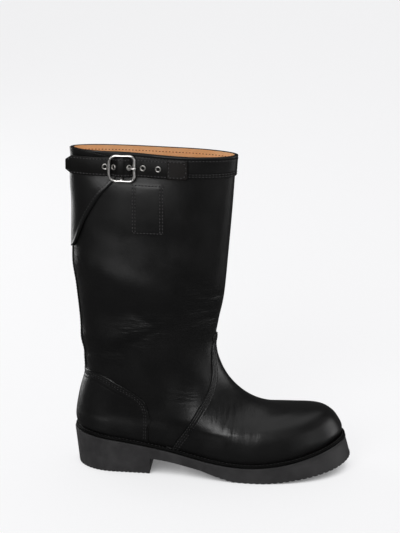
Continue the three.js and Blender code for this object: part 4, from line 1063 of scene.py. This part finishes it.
def buckle_frame():
    """The buckle's own place and directions, clear of the shaft's bulge behind it."""
    here = beside_shaft(BUCKLE_X, 0, 0)[0]
    places = beside_shaft(BUCKLE_X + np.array([-1, -0.5, 0.5, 1]) * BUCKLE_LENGTH / 2, 0, 0)
    along = unit(places[3] - places[0])
    across = unit(beside_shaft(BUCKLE_X, 1, 0)[0] - beside_shaft(BUCKLE_X, -1, 0)[0])
    out = unit(np.cross(along, across))
    hollow = max(0, *((places - here) @ out))
    return {"here": here + out * hollow, "along": along, "out": out, "up": unit(np.cross(out, along))}


BUCKLE = buckle_frame()


def in_buckle(along, up, out):
    along, up, out = np.broadcast_arrays(*(np.asarray(v, float) for v in (along, up, out)))
    return (BUCKLE["here"] + along[..., None] * BUCKLE["along"] + up[..., None] * BUCKLE["up"]
            + out[..., None] * BUCKLE["out"])


def strap_lift(x):
    start = BAR_CLEARANCE * 0.6
    reach = BUCKLE_LENGTH / 2 - BUCKLE_WIRE - GAP
    fall = eased((np.abs(x - BUCKLE_X) - start) / (reach - start))
    return STRAP_OVER_BAR + (STRAP_LIFT - STRAP_OVER_BAR) * fall


def strap_point(x, across, lift):
    away = np.abs(x - BUCKLE_X) / (BUCKLE_LENGTH / 2)
    share = eased((away - HELD_BY_BUCKLE) / (FREE_OF_BUCKLE - HELD_BY_BUCKLE))[..., None]
    held = in_buckle(x - BUCKLE_X, across, strap_lift(x) + lift)
    return held * (1 - share) + beside_shaft(x, across, strap_lift(x) + lift) * share


def smoothed(values, rounds):
    for _ in range(rounds):
        values[1:-1] = (values[:-2] + 2 * values[1:-1] + values[2:]) / 4
    return values


STRAP_X = np.linspace(STRAP_TIP_X, STRAP_END_X, STRAP_POINTS)
STRAP_PLACE = smoothed(strap_point(STRAP_X, 0, 0), 6)
STRAP_ALONG = smoothed(unit(np.gradient(STRAP_PLACE, axis=0)), 4)
STRAP_UP = smoothed(unit(strap_point(STRAP_X, 1.0, 0) - strap_point(STRAP_X, -1.0, 0)), 20)
STRAP_OUT = unit(np.cross(STRAP_ALONG, STRAP_UP))


def on_strap(x, across, lift):
    """Points on the strap: x along the boot, across its width, and a lift over its underside."""
    x = np.asarray(x, float)
    across, lift = np.broadcast_to(across, x.shape), np.broadcast_to(lift, x.shape)
    place, up, out = (at_steps(x, STRAP_X, rows) for rows in (STRAP_PLACE, STRAP_UP, STRAP_OUT))
    return place + up * across[..., None] + out * lift[..., None]


def strap_half_width(x):
    from_tip = np.clip((x - STRAP_TIP_X) / TIP_LENGTH, 0, 1)
    return STRAP_WIDTH / 2 * (TIP_SHARE + (1 - TIP_SHARE) * from_tip)


def rounded_loop(thickness, radius):
    """Cross-section of a strap: (across as a share of the half width, offset in mm, lift)."""
    loop = []
    for corner, (side, top) in enumerate([(1, 0), (1, 1), (-1, 1), (-1, 0)]):
        for step in range(5):
            angle = math.pi / 2 * (corner - 1 + step / 4)
            lift = (thickness - radius if top else radius) + radius * math.sin(angle)
            loop.append((side, -side * radius + radius * math.cos(angle), lift))
    return np.array(loop)


def make_strap():
    loop = rounded_loop(STRAP_THICKNESS, STRAP_RADIUS)
    tip, end = [STRAP_TIP_X, STRAP_TIP_X + 0.15], [STRAP_END_X - 0.15, STRAP_END_X]
    x = np.concatenate([tip, STRAP_X[1:-1], end])[:, None] + np.zeros(len(loop))
    across = loop[:, 0] * strap_half_width(x) + loop[:, 1]
    across[0] *= 0.96
    across[-1] *= 0.985
    lift = loop[:, 2] + np.zeros_like(x)
    crown = STRAP_CROWN * (1 - (across / (STRAP_WIDTH / 2)) ** 2)
    lift = np.where(lift > STRAP_THICKNESS / 2, lift + crown, lift)
    make_lofted("strap_leather_piece", on_strap(x, across, lift), False, [STRAP_LEATHER],
                "strap_leather", "strap")


def make_strap_patch():
    """The strap's sewn end: a patch of leather on top of it with rounded corners."""
    start, end = PATCH_FROM * STRAP_END_X, STRAP_END_X + PATCH_PAST_END
    x, share = np.meshgrid(np.linspace(start, end, 40), np.linspace(-1, 1, 25), indexing="ij")
    into = np.clip((x - (end - PATCH_CORNER)) / PATCH_CORNER, 0, 1)
    half = STRAP_WIDTH / 2 + PATCH_OVERHANG - PATCH_CORNER * (1 - np.sqrt(np.maximum(0, 1 - into**2)))
    to_edge = np.maximum(0, np.minimum(np.minimum(x - start, end - x), half * (1 - np.abs(share))))
    rise = PATCH_THICKNESS * edge_round(to_edge, PATCH_THICKNESS)
    top = on_strap(x, share * half, STRAP_THICKNESS + PATCH_LIFT + rise)
    bottom = on_strap(x, share * half, STRAP_THICKNESS - 0.6)
    loops = np.concatenate([top, bottom[:, ::-1]], axis=1)
    make_lofted("strap_end_patch", loops, False, [PATCH_LEATHER], "strap_leather")


def sweep(points, radii, across, sides, closed, flat=1.0):
    """A round wire along points; across is a direction square to the path's plane."""
    points = np.asarray(points, float)
    radii = np.broadcast_to(radii, len(points))[:, None, None]
    if closed:
        forward = unit(np.roll(points, -1, 0) - np.roll(points, 1, 0))
    else:
        forward = unit(np.gradient(points, axis=0))
    third = unit(np.cross(forward, across))
    angle = ((np.arange(sides) + 0.5) / sides * 2 * math.pi)[None, :, None]
    aside = np.cos(angle) * np.asarray(across) * flat
    rings = points[:, None] + radii * (aside + np.sin(angle) * third[:, None])
    return rings.reshape(-1, 3), lattice(len(points), sides, closed)


def buckle_outline():
    """The middle of the ring's wire, evenly stepped, with rounder corners at the back."""
    half_length, half_height = (BUCKLE_LENGTH - BUCKLE_WIRE) / 2, (BUCKLE_HEIGHT - BUCKLE_WIRE) / 2
    front, back = FRONT_CORNER + CORNER_SOFTNESS, BACK_CORNER + CORNER_SOFTNESS
    corners = [(1, 1, front), (-1, 1, back), (-1, -1, back), (1, -1, front)]
    rows = []
    for corner, (along, up, radius) in enumerate(corners):
        for step in range(13):
            angle = (corner + step / 12) * math.pi / 2
            rows.append((along * (half_length - radius) + radius * math.cos(angle),
                         up * (half_height - radius) + radius * math.sin(angle)))
    closed = np.array(rows + rows[:1])
    steps = steps_along(closed)
    ring = at_steps(np.linspace(0, steps[-1], RING_POINTS + 1)[:-1], steps, closed)
    ring[:, 1] -= np.sign(ring[:, 1]) * SIDE_PINCH * hill(ring[:, 0], 0, PINCH_REACH)
    return ring


def make_buckle():
    ring = buckle_outline()
    wire = in_buckle(ring[:, 0], ring[:, 1] - RING_DROP, SIDE_BAR_LIFT)
    half = (BUCKLE_HEIGHT - BUCKLE_WIRE) / 2 - 0.7
    up = np.linspace(-half, half, 41)
    rise = eased((np.abs(up) - (half - BAR_BEND)) / BAR_BEND)
    lift = CENTRE_BAR_LIFT + (SIDE_BAR_LIFT - CENTRE_BAR_LIFT) * rise
    bar = in_buckle(0, up - RING_DROP, lift)
    points, faces = join_meshes([
        sweep(wire, WIRE_SHOWN / 2, BUCKLE["out"], 16, True),
        sweep(bar, CENTRE_BAR / 2, BUCKLE["along"], 14, False),
    ])
    make_object("buckle_ring", points, faces, [NICKEL], "buckle_metal", "buckle_frame")


def make_prong():
    """The pin from the centre bar to the ring's front, and its eye round the bar."""
    radius = CENTRE_BAR / 2 + GAP + PRONG_EYE_WIRE / 2
    tip = BUCKLE_LENGTH / 2 + 0.8
    rest = SIDE_BAR_LIFT + BUCKLE_WIRE / 2 + PRONG_WIRE / 2 - 0.1
    curve = {
        "s": np.array([radius, radius + PRONG_BEND, tip - PRONG_BEND, tip]),
        "z": np.array([CENTRE_BAR_LIFT + PRONG_WIRE / 4, CENTRE_BAR_LIFT + PRONG_WIRE, rest, rest]),
    }
    along = np.linspace(radius - 0.4, tip, 40)
    radii = PRONG_WIRE / 2 * np.clip((tip + 0.05 - along) / 1.2, 0.05, 1) ** 0.4
    pin = in_buckle(along, -RING_DROP / 2, smooth_at(curve, "s", "z", along))
    angle = np.arange(36) / 36 * 2 * math.pi
    eye = in_buckle(radius * np.cos(angle), 0, CENTRE_BAR_LIFT + radius * np.sin(angle))
    points, faces = join_meshes([
        sweep(pin, radii, BUCKLE["up"], 14, False),
        sweep(eye, PRONG_EYE_WIRE / 2, BUCKLE["up"], 10, True, flat=1.5),
    ])
    make_object("buckle_pin", points, faces, [NICKEL], "buckle_metal", "buckle_prong")


def make_chape():
    """Leather loop round the centre bar, open in its middle for the prong."""
    inner = CENTRE_BAR / 2 + GAP * 0.6
    outer = inner + CHAPE_THICKNESS
    angle = np.linspace(-math.pi / 2, math.pi, 20)
    outside = [(-CHAPE_TAIL, -outer)] + [(outer * math.cos(a), outer * math.sin(a)) for a in angle]
    inside = [(inner * math.cos(a), inner * math.sin(a)) for a in angle[::-1]] + [(-CHAPE_TAIL, -inner)]
    loop = np.array(outside + inside)
    slot = PRONG_WIRE / 2 + 2 * GAP
    parts = []
    for from_up, to_up in ((-CHAPE_WIDTH / 2, -slot), (slot, CHAPE_WIDTH / 2)):
        ups = np.array([from_up, from_up + 0.2, to_up - 0.2, to_up])[:, None]
        shrink = np.array([0.97, 1, 1, 0.97])[:, None]
        rings = in_buckle(loop[None, :, 0], ups, CENTRE_BAR_LIFT + loop[None, :, 1] * shrink)
        parts.append((rings.reshape(-1, 3), lattice(4, len(loop), False)))
    points, faces = join_meshes(parts)
    make_object("buckle_loop", points, faces, [STRAP_LEATHER], "strap_leather", "buckle_chape")


def make_eyelets():
    outer, bore = EYELET_OUTER / 2 - EYELET_INSET, EYELET_BORE / 2 + EYELET_LIP
    middle, half = (outer + bore) / 2, (outer - bore) / 2
    top = STRAP_THICKNESS + 0.2
    profile = []
    for a in np.linspace(0, math.pi, 11):
        profile.append((middle + half * math.cos(a), top + EYELET_CROWN * math.sin(a)))
    inside = bore + 0.35
    profile += [(bore, top - 1.8), (inside, top - 1.8), (inside, top - 0.3), (outer, top - 0.3)]
    profile = np.array(profile)
    angle = np.arange(36) / 36 * 2 * math.pi
    for number, place in enumerate(EYELETS, 1):
        x = BUCKLE_X + place * EYELET_PITCH
        here, above, ahead = on_strap([x, x, x + 0.5], 0.0, [0.0, 1.0, 0.0])
        out = unit(above - here)
        along = unit(ahead - here)
        radial = np.cos(angle)[:, None] * along + np.sin(angle)[:, None] * np.cross(out, along)
        rings = here + radial[:, None] * profile[None, :, :1] + out * profile[None, :, 1:]
        make_lofted(f"eyelet_ring_{number}", rings, True, [DARK_NICKEL], "buckle_metal",
                    f"eyelet_{number}")


# Sole, welt and insole

OUTLINE_POINTS = 6000
SOLE_STATIONS = 900
WELT_STEP = 6  # of the outline's points, one in so many carries the welt
BREAST_STEP = 0.3
SOLE_ACROSS = 44
TREAD_HEIGHT = 1.4
TREAD_INSET = 0.09
# Down the sole's side: share of its height, mm outward, mm below the welt
SOLE_LEVELS = [
    (1.0, -1.2, 0.0), (1.0, -0.45, 0.0), (1.0, -0.1, 0.25),
    (1.0, 0.0, 0.7), (1.0, 0.0, 1.5), (1.0, -0.1, 2.3),
]
SOLE_LEVELS += [(1 - s, -0.1, 2.3 * (1 - s)) for s in (0.15, 0.3, 0.45, 0.6, 0.75, 0.88, 0.95)]
# Round the floor edge: mm outward, share of the notch's depth, mm up beside the notches
FLOOR_LEVELS = [(-0.15, 1.0, 0.35), (-0.5, 1.0, 0.0), (-4.0, 1.0, 0.0), (-4.4, 0.0, 0.0)]
# The welt's lower and upper edge and its stitch groove: mm in from the outer edge, mm up
WELT_LOW_EDGE = [(0.5, 0.0), (0.12, 0.2), (0.0, 0.7)]
WELT_TOP_EDGE = [
    (0.0, -0.9), (0.25, -0.35), (0.9, -0.05), (1.6, 0.0), (2.0, -0.35), (2.5, -0.5), (3.0, -0.35), (3.4, 0.0),
]
WELT_WAVE = 0.08
WELT_WAVES = 190
WELT_WAVED_FROM = 3.5  # mm out from the feather line
TREADS_TO = 0.95  # share of the sole's length
HEEL_TREADS_FROM = 12
TREADS_BEFORE_BREAST = 9
INSOLE_HOLLOW = 0.6
INSOLE_EDGE_DROP = 0.8
INSOLE_EDGE_SHARE = 0.04


def plan_outline(count):
    """The feather line in plan, by turn, with its outward direction."""
    turns = np.arange(count) / count
    here = surface_point(turns, 0.0)[:, :2]
    step = surface_point(turns + SURFACE_STEP, 0.0)[:, :2] - surface_point(turns - SURFACE_STEP, 0.0)[:, :2]
    along = unit(step)
    return here, np.stack([-along[:, 1], along[:, 0]], 1)


HERE, OUTWARD = plan_outline(OUTLINE_POINTS)


def sole_lean(x):
    share = np.clip(x / SOLE_LENGTH, 0, 1)
    heel = np.maximum(0, 1 - x / HEEL_BREAST)
    toe = np.maximum(0, (share - BALL_SHARE) / (1 - BALL_SHARE))
    return TOE_FLARE * toe - HEEL_TAPER * heel**2 - FLOOR_EDGE_INSET


def underside_z(x):
    rows = [(-WELT_LEDGE * 2, 0.0), (HEEL_BREAST, 0.0), (HEEL_BREAST + BREAST_STEP, ARCH_HEIGHT)]
    rows += [(a * SOLE_LENGTH, z * ARCH_HEIGHT) for a, z in ARCH_LINE]
    rows += [(a * SOLE_LENGTH, z * TOE_SPRING) for a, z in SPRING_LINE]
    rows += [(SOLE_LENGTH + WELT_LEDGE, TOE_SPRING)]
    xs, zs = np.array(rows).T
    return np.interp(x, xs, zs)


def outline_sides(shares, distance_at):
    """Points of the moved outline at shares of its length: outer side, inner side."""
    moved = HERE + OUTWARD * distance_at(HERE[:, 0])[:, None]
    half = len(moved) // 2
    lateral, medial = moved[: half + 1], np.concatenate([moved[half:], moved[:1]])
    sides = []
    for line in (lateral[::-1], medial):
        xs = np.maximum.accumulate(line[:, 0])
        x = xs[0] + (xs[-1] - xs[0]) * shares
        sides.append(np.stack([x, np.interp(x, xs, line[:, 1])], 1))
    return sides


def notch_mask(line):
    """1 where a notch cuts the floor edge, along one side of it."""
    on_heel = line[:, 0] < HEEL_BREAST - HEEL_NOTCH_PITCH / 2
    on_forefoot = line[:, 0] > NOTCHES_FROM * SOLE_LENGTH
    pitch = np.where(on_heel, HEEL_NOTCH_PITCH, FOREFOOT_NOTCH_PITCH)
    phase = (steps_along(line) / pitch) % 1
    cut = np.clip((NOTCH_SHARE / 2 - np.abs(phase - 0.5)) / 0.05 + 0.5, 0, 1)
    return cut * (on_heel | on_forefoot)


def make_outsole():
    """Both sides from the welt down to the floor edge with its notches, and the treads between."""
    floor_ends = outline_sides(np.array([0.0, 1.0]), lambda x: WELT_LEDGE + sole_lean(x))[0]
    start, end = floor_ends[:, 0]
    even = (1 - np.cos(np.linspace(0, math.pi, SOLE_STATIONS))) / 2
    breast = [(x - start) / (end - start) for x in (HEEL_BREAST, HEEL_BREAST + BREAST_STEP)]
    shares = np.sort(np.concatenate([even, breast]))
    rows = []
    for share, outward, below in SOLE_LEVELS:
        edge = []
        for line in outline_sides(shares, lambda x: WELT_LEDGE + sole_lean(x) * (1 - share) + outward):
            top = feather_z(line[:, 0]) - WELT_THICKNESS - GAP - below
            low = underside_z(line[:, 0])
            edge.append(np.column_stack([line, low + (top - low) * share]))
        rows.append(edge)
    floor_sides = outline_sides(shares, lambda x: WELT_LEDGE + sole_lean(x))
    cuts = [notch_mask(line) for line in floor_sides]
    for outward, deep, up in FLOOR_LEVELS:
        sides = outline_sides(shares, lambda x: WELT_LEDGE + sole_lean(x) + outward)
        rows.append([
            np.column_stack([line, underside_z(line[:, 0]) + cut * NOTCH_DEPTH * deep + up * (1 - cut)])
            for line, cut in zip(sides, cuts)
        ])
    lateral = np.stack([row[0] for row in rows], 1)
    medial = np.stack([row[1] for row in rows], 1)
    s = np.linspace(0, 1, SOLE_ACROSS + 2)[None, 1:-1, None]
    under = lateral[:, -1:, :] * (1 - s) + medial[:, -1:, :] * s
    x = under[..., 0]
    bars = np.abs((x / FOREFOOT_NOTCH_PITCH) % 1 - 0.5) < NOTCH_SHARE / 2
    inset = np.minimum(s[..., 0], 1 - s[..., 0]) > TREAD_INSET
    on_forefoot = (x > NOTCHES_FROM * SOLE_LENGTH) & (x < TREADS_TO * SOLE_LENGTH)
    on_heel = (x < HEEL_BREAST - TREADS_BEFORE_BREAST) & (x > HEEL_TREADS_FROM)
    treads = bars & inset & (on_forefoot | on_heel)
    under[..., 2] = underside_z(x) + np.where(treads, TREAD_HEIGHT, 0.0)
    loops = np.concatenate([lateral, under, medial[:, ::-1]], axis=1)
    make_lofted("sole_unit", loops, False, [RUBBER], "sole_rubber", "outsole", sharp=35)


def make_welt():
    """The ledge round the boot, with a groove for its stitches and a slightly wavy edge."""
    here, outward = HERE[::WELT_STEP], OUTWARD[::WELT_STEP]
    outer, inner = WELT_LEDGE - WELT_INSET, -WELT_UNDER_UPPER
    section = [(inner, -WELT_THICKNESS)]
    section += [(outer - into, up - WELT_THICKNESS) for into, up in WELT_LOW_EDGE]
    section += [(outer - into, up) for into, up in WELT_TOP_EDGE]
    section += [(0.4, 0.0), (inner, 0.0)]
    section = np.array(section)
    wave = WELT_WAVE * np.sin(np.arange(len(here)) / len(here) * 2 * math.pi * WELT_WAVES)
    away = section[None, :, 0] + wave[:, None] * (section[None, :, 0] > WELT_WAVED_FROM)
    plan = here[:, None] + outward[:, None] * away[..., None]
    z = feather_z(plan[..., 0]) + section[None, :, 1]
    make_lofted("welt_strip", np.concatenate([plan, z[..., None]], -1), True, [SHADED_WELT], "welt", "welt")


def make_insole():
    shares = (1 - np.cos(np.linspace(0, math.pi, 120))) / 2
    lateral, medial = outline_sides(shares, lambda x: np.full_like(x, -WELT_UNDER_UPPER - GAP))
    s = np.linspace(0, 1, 24)[None, :, None]
    plan = lateral[:, None] * (1 - s) + medial[:, None] * s
    across = s[..., 0]
    base = feather_z(plan[..., 0]) - WELT_THICKNESS
    edges = INSOLE_EDGE_DROP * hill(np.minimum(across, 1 - across), 0, INSOLE_EDGE_SHARE)
    hollow = edges + INSOLE_HOLLOW * np.sin(math.pi * across)
    upper = np.concatenate([plan, (base + INSOLE_THICKNESS - hollow)[..., None]], -1)
    lower = np.concatenate([plan, base[..., None]], -1)
    loops = np.concatenate([upper, lower[:, ::-1]], axis=1)
    make_lofted("insole_board", loops, False, [LINING], "lining", "insole")


# Stitches

STITCH_PITCH = 3.55
STITCH_SHARE = 0.54
STITCH_RADIUS = 0.55
HOLE_RISE = 0.14
HOLE_LENGTH = 1.1  # as a share of the room between stitches
HOLE_WIDTH = 1.25  # as a share of the thread's radius
WELT_PITCH = 4.0
WELT_THREAD_RADIUS = 0.6
LINING_THREAD_RADIUS = 0.45
LINING_ROW = 4.2
PULL_SECOND_ROW = 2.8
PATCH_ROW = 1.8
PATCH_ROW_CORNER = 3
WELT_ROW = 2.5
SEAM_ROW_LIFTS = (1.5, 1.0, 0.4)
# Shares of the collar's length where the band's upper and lower rows end
TOP_ROW_TO = 0.25
LOW_ROWS_TO = 0.31


def stitch_template(length, radius, sides=6):
    """One stitch along x, whose ends dip into the leather."""
    stations = np.linspace(-1, 1, 7)
    rows = []
    for s in stations:
        r = radius * max(0.2, math.sqrt(max(0, 1 - abs(s) ** 3)))
        sink = -0.75 * radius * s**4
        for k in range(sides):
            angle = 2 * math.pi * k / sides
            rows.append((s * length / 2, r * math.cos(angle), sink + r * 0.8 * math.sin(angle)))
    return np.array(rows), lattice(len(stations), sides, False)


def hole_shade_template(length, radius, sides=10):
    """A flat near-black disc, longer along the row than across it: a needle hole's painted shade."""
    angle = np.arange(sides) / sides * 2 * math.pi
    rows = []
    for share, rise in ((1.0, -HOLE_RISE), (0.9, HOLE_RISE * 0.7), (0.5, HOLE_RISE), (0.1, HOLE_RISE)):
        ring = [share * length / 2 * np.cos(angle), share * radius * np.sin(angle), np.full(sides, rise)]
        rows.append(np.stack(ring, 1))
    return np.concatenate(rows), lattice(4, sides, False)


def set_along(template, faces, points, normals, pitch, phase=0.5):
    """Copies of a template set along one row of points, as points and faces."""
    steps = steps_along(points)
    number = max(1, int(steps[-1] / pitch))
    s = (np.arange(number) + phase) * steps[-1] / number
    here = at_steps(s, steps, points)
    out = unit(at_steps(s, steps, normals))
    along = unit(at_steps(s + 0.5, steps, points) - at_steps(s - 0.5, steps, points))
    side = unit(np.cross(out, along))
    made = here[:, None]
    for k, direction in enumerate((along, side, out)):
        made = made + direction[:, None] * template[None, :, k : k + 1]
    all_faces = [[v + i * len(template) for v in face] for i in range(number) for face in faces]
    return made.reshape(-1, 3), all_faces


def make_stitches(name, rows, material, slot, pitch=STITCH_PITCH, radius=STITCH_RADIUS, holes=True):
    """Rows of stitches, and between them flat near-black discs that paint the needle holes' shade."""
    thread_shape = stitch_template(pitch * STITCH_SHARE, radius)
    threads = [set_along(*thread_shape, points, normals, pitch) for points, normals in rows]
    make_object(name, *join_meshes(threads), [material], slot, sharp=80)
    if holes:
        hole_shade_shape = hole_shade_template(pitch * (1 - STITCH_SHARE) * HOLE_LENGTH, radius * HOLE_WIDTH)
        hole_shade_pieces = [set_along(*hole_shade_shape, points, normals, pitch, 0.0) for points, normals in rows]
        hole_shade_name = name.replace("stitches", "needle_hole_shades")
        make_object(hole_shade_name, *join_meshes(hole_shade_pieces), [HOLE_SHADE], slot, sharp=80)


def row_on_skin(path, lift):
    return skin_point(path[:, 0], path[:, 1], lift), surface_normal(path[:, 0], path[:, 1])


def make_upper_stitches(counter_edge, seam_back, strip_sides, wing_edge):
    on_overlay = GAP + OVERLAY - 0.1
    on_counter = GAP / 2 + COUNTER_SHOWN - 0.2
    rows = [row_on_skin(shifted_path(counter_edge, d), on_counter) for d in COUNTER_ROWS]
    make_stitches("counter_stitches", rows, BLACK_THREAD, "upper_leather")
    rows = [row_on_skin(shifted_path(seam_back, -d), lift) for d, lift in zip(SEAM_ROWS, SEAM_ROW_LIFTS)]
    make_stitches("vamp_stitches", rows, BLACK_THREAD, "upper_leather")
    rows = []
    for path, distance in zip(strip_sides, (-STRIP_ROW, STRIP_ROW)):
        rows.append(row_on_skin(shifted_path(path, distance), GAP + STRIP_THICKNESS))
    make_stitches("back_stitches", rows, BLACK_THREAD, "upper_leather")
    rows = []
    band_rows = [(BAND_TOP_ROW, TOP_ROW_TO)] + [(BAND_HEIGHT - row, LOW_ROWS_TO) for row in BAND_LOW_ROWS]
    for drop, share in band_rows:
        path = band_path(drop, np.linspace(-BAND_BACK_TURN, turn_at(share), 420))
        rows.append(row_on_skin(path, on_overlay - 0.1))
    make_stitches("band_stitches", rows, BLACK_THREAD, "upper_leather")
    along = np.linspace(0, 1, len(wing_edge))
    lift = on_overlay + smooth_at(WING_STAND, "along", "stand", along) * 0.93 + 0.05
    points, normals = row_on_skin(shifted_path(wing_edge, -WING_ROW), lift)
    shown = slice(int((FOLD_FROM + 0.01) * len(points)), -4)
    make_stitches("wing_stitches", [(points[shown], normals[shown])], HIGHLIT_THREAD, "upper_leather")


def make_pull_stitches():
    """The rectangle sewn through the shaft on both sides, with a second row down its long sides."""
    middle = COLLAR_LENGTH * PULL_STRAP_AT
    top = collar_z(middle) - PULL_STRAP_TOP
    low = top - PULL_STRAP_HEIGHT
    left, right = middle - PULL_STRAP_WIDTH / 2 - PULL_ROW, middle + PULL_STRAP_WIDTH / 2 + PULL_ROW
    corners = [(left, low), (left, top), (right, top), (right, low), (left, low)]
    lines = list(zip(corners[:-1], corners[1:]))
    lines += [((x, low), (x, top)) for x in (left + PULL_SECOND_ROW, right - PULL_SECOND_ROW)]
    rows = []
    for lateral in (True, False):
        for (x0, z0), (x1, z1) in lines:
            place = place_on_side(np.linspace(x0, x1, 40), np.linspace(z0, z1, 40), lateral)
            rows.append(row_on_skin(np.stack(place, 1), 0.15))
    make_stitches("pull_strap_stitches", rows, HIGHLIT_THREAD, "upper_leather")


def row_on_strap(x, across, lift):
    points = on_strap(x, across, lift)
    return points, unit(on_strap(x, across, lift + 1.0) - points)


def make_strap_stitches():
    x = np.linspace(STRAP_TIP_X + STRAP_ROW, PATCH_FROM * STRAP_END_X, 200)
    rows = []
    for side in (-1, 1):
        rows.append(row_on_strap(x, side * (strap_half_width(x) - STRAP_ROW), STRAP_THICKNESS + 0.12))
    start, end = PATCH_FROM * STRAP_END_X + PATCH_ROW, STRAP_END_X - 1.6
    half = STRAP_WIDTH / 2 - PATCH_ROW
    into, low = end - PATCH_ROW_CORNER, half - PATCH_ROW_CORNER
    box = [(start, -half), (into, -half), (end, -low), (end, low), (into, half), (start, half)]
    for (x0, a0), (x1, a1) in zip(box, box[1:] + box[:1]):
        rows.append(row_on_strap(np.linspace(x0, x1, 30), np.linspace(a0, a1, 30), STRAP_THICKNESS + 1.15))
    make_stitches("strap_stitches", rows, HIGHLIT_THREAD, "strap_leather")


def make_welt_stitches():
    plan = HERE + OUTWARD * (WELT_LEDGE - WELT_INSET - WELT_ROW)
    points = np.column_stack([plan, feather_z(plan[:, 0]) - 0.3])
    points = np.concatenate([points, points[:1]])
    normals = np.tile([0.0, 0.0, 1.0], (len(points), 1))
    make_stitches("welt_stitches", [(points, normals)], BLACK_THREAD, "welt", WELT_PITCH, WELT_THREAD_RADIUS)


def make_lining_stitches():
    path = band_path(LINING_ROW, np.linspace(0, 1, 500)[:-1])
    points = skin_point(path[:, 0], path[:, 1], -WALL - 0.1)
    normals = -surface_normal(path[:, 0], path[:, 1])
    make_stitches("lining_stitches", [(points, normals)], RED_THREAD, "lining",
                  radius=LINING_THREAD_RADIUS, holes=False)


# Camera, floor and light

CAMERA_TARGET = (136, 0, 225)
CAMERA_DISTANCE = 2300
CAMERA_AZIMUTH = 5.3
CAMERA_ELEVATION = 18.3
MM_PER_PIXEL = 1.065
PHOTO_HEIGHT = 533
SENSOR = 36
FLOOR_COLOUR = 0.24
FLOOR_GLOW = 0.75  # evens out the pale ground
SHADED_GLOW = 0.15  # share of the glow left close under the sole, a painted contact shadow
SHADE_REACH = 0.035
# In metres: how far the floor reaches, and the bend and height of the wall behind
FLOOR_REACH = 12.0
WALL_FROM = 1.6
WALL_BEND = 1.5
WALL_TOP = 6.0
WORLD_STRENGTH = 0.07
# Each light's place, what it points at, its size in metres and its power
LIGHTS = {
    "key": ((-0.75, -2.05, 1.45), (0.05, 0, 0.15), 1.3, 29),
    "front": ((1.7, -1.5, 0.5), (0.05, 0, 0.1), 0.8, 2.5),
    "left": ((-1.25, 0.9, 0.3), (0, 0, 0.25), 0.9, 10),
    "right": ((1.9, 0.1, 0.4), (0, 0, 0.25), 1.2, 9),
    "top": ((0.1, 0.0, 2.5), (0.1, 0.0, 0.0), 2.6, 16),
}


def place_and_aim(name, data, place, target):
    item = bpy.data.objects.new(name, data)
    item.location = place
    item.rotation_euler = (Vector(target) - Vector(place)).to_track_quat("-Z", "Y").to_euler()
    bpy.context.scene.collection.objects.link(item)
    return item


def make_camera():
    azimuth, elevation = math.radians(CAMERA_AZIMUTH), math.radians(CAMERA_ELEVATION)
    level = math.cos(elevation)
    back = Vector((math.sin(azimuth) * level, -math.cos(azimuth) * level, math.sin(elevation)))
    target = Vector(to_row(CAMERA_TARGET))
    data = bpy.data.cameras.new("camera")
    data.sensor_width = SENSOR
    data.lens = SENSOR * CAMERA_DISTANCE / MM_PER_PIXEL / PHOTO_HEIGHT
    data.clip_end = 30
    place = target + back * CAMERA_DISTANCE / 1000
    bpy.context.scene.camera = place_and_aim("camera", data, place, target)


def make_floor():
    """A pale floor that bends up into a wall behind the boot. It doesn't show in the gloss. Close under the
    sole its glow dims into a painted contact shadow.
    """
    n = Nodes("pale_floor")
    roughness = n.ramp(n.noise(3, 2), 0.3, 0.7, 0.8, 0.9)
    # Painted shadow: the glow fades where the sole hems the floor in
    open_sky = n.add("ShaderNodeAmbientOcclusion", {"Distance": SHADE_REACH}, samples=8).outputs["AO"]
    glow_with_painted_shadow = n.ramp(open_sky, 0.0, 0.6, FLOOR_GLOW * SHADED_GLOW, FLOOR_GLOW)
    n.set(Base_Color=rgb(FLOOR_COLOUR, FLOOR_COLOUR, FLOOR_COLOUR * 1.01), Roughness=roughness)
    n.set(Emission_Color=rgb(1, 1, 1.01), Emission_Strength=glow_with_painted_shadow, Specular_IOR_Level=0.1)
    profile = [(-FLOOR_REACH, 0.0), (WALL_FROM, 0.0)]
    for a in np.linspace(0, math.pi / 2, 20)[1:]:
        profile.append((WALL_FROM + WALL_BEND * math.sin(a), WALL_BEND * (1 - math.cos(a))))
    profile.append((WALL_FROM + WALL_BEND, WALL_TOP))
    points = [(x, y, z) for y, z in profile for x in (-FLOOR_REACH, FLOOR_REACH)]
    faces = [(2 * i, 2 * i + 1, 2 * i + 3, 2 * i + 2) for i in range(len(profile) - 1)]
    mesh = bpy.data.meshes.new("floor")
    mesh.from_pydata(points, [], faces)
    mesh.shade_smooth()
    mesh.materials.append(n.material)
    floor = bpy.data.objects.new("floor", mesh)
    bpy.context.scene.collection.objects.link(floor)
    floor.visible_glossy = False


def make_lights():
    world = bpy.data.worlds.new("studio")
    world.use_nodes = True
    background = world.node_tree.nodes["Background"]
    background.inputs["Color"].default_value = rgb(1, 1, 1)
    background.inputs["Strength"].default_value = WORLD_STRENGTH
    bpy.context.scene.world = world
    bpy.context.scene.view_settings.view_transform = "Standard"
    for name, (place, target, size, power) in LIGHTS.items():
        data = bpy.data.lights.new(name, "AREA")
        data.size = size
        data.energy = power
        place_and_aim(name, data, place, target)


make_camera()
make_floor()
make_lights()
make_upper()
counter_edge = make_counter()
seam_back = make_vamp_seam()
strip_sides = make_back_strip()
make_collar_band()
make_wing()
make_pull_straps()
make_strap()
make_strap_patch()
make_buckle()
make_prong()
make_chape()
make_eyelets()
make_outsole()
make_welt()
make_insole()
make_upper_stitches(counter_edge, seam_back, strip_sides, wing_path())
make_pull_stitches()
make_strap_stitches()
make_welt_stitches()
make_lining_stitches()
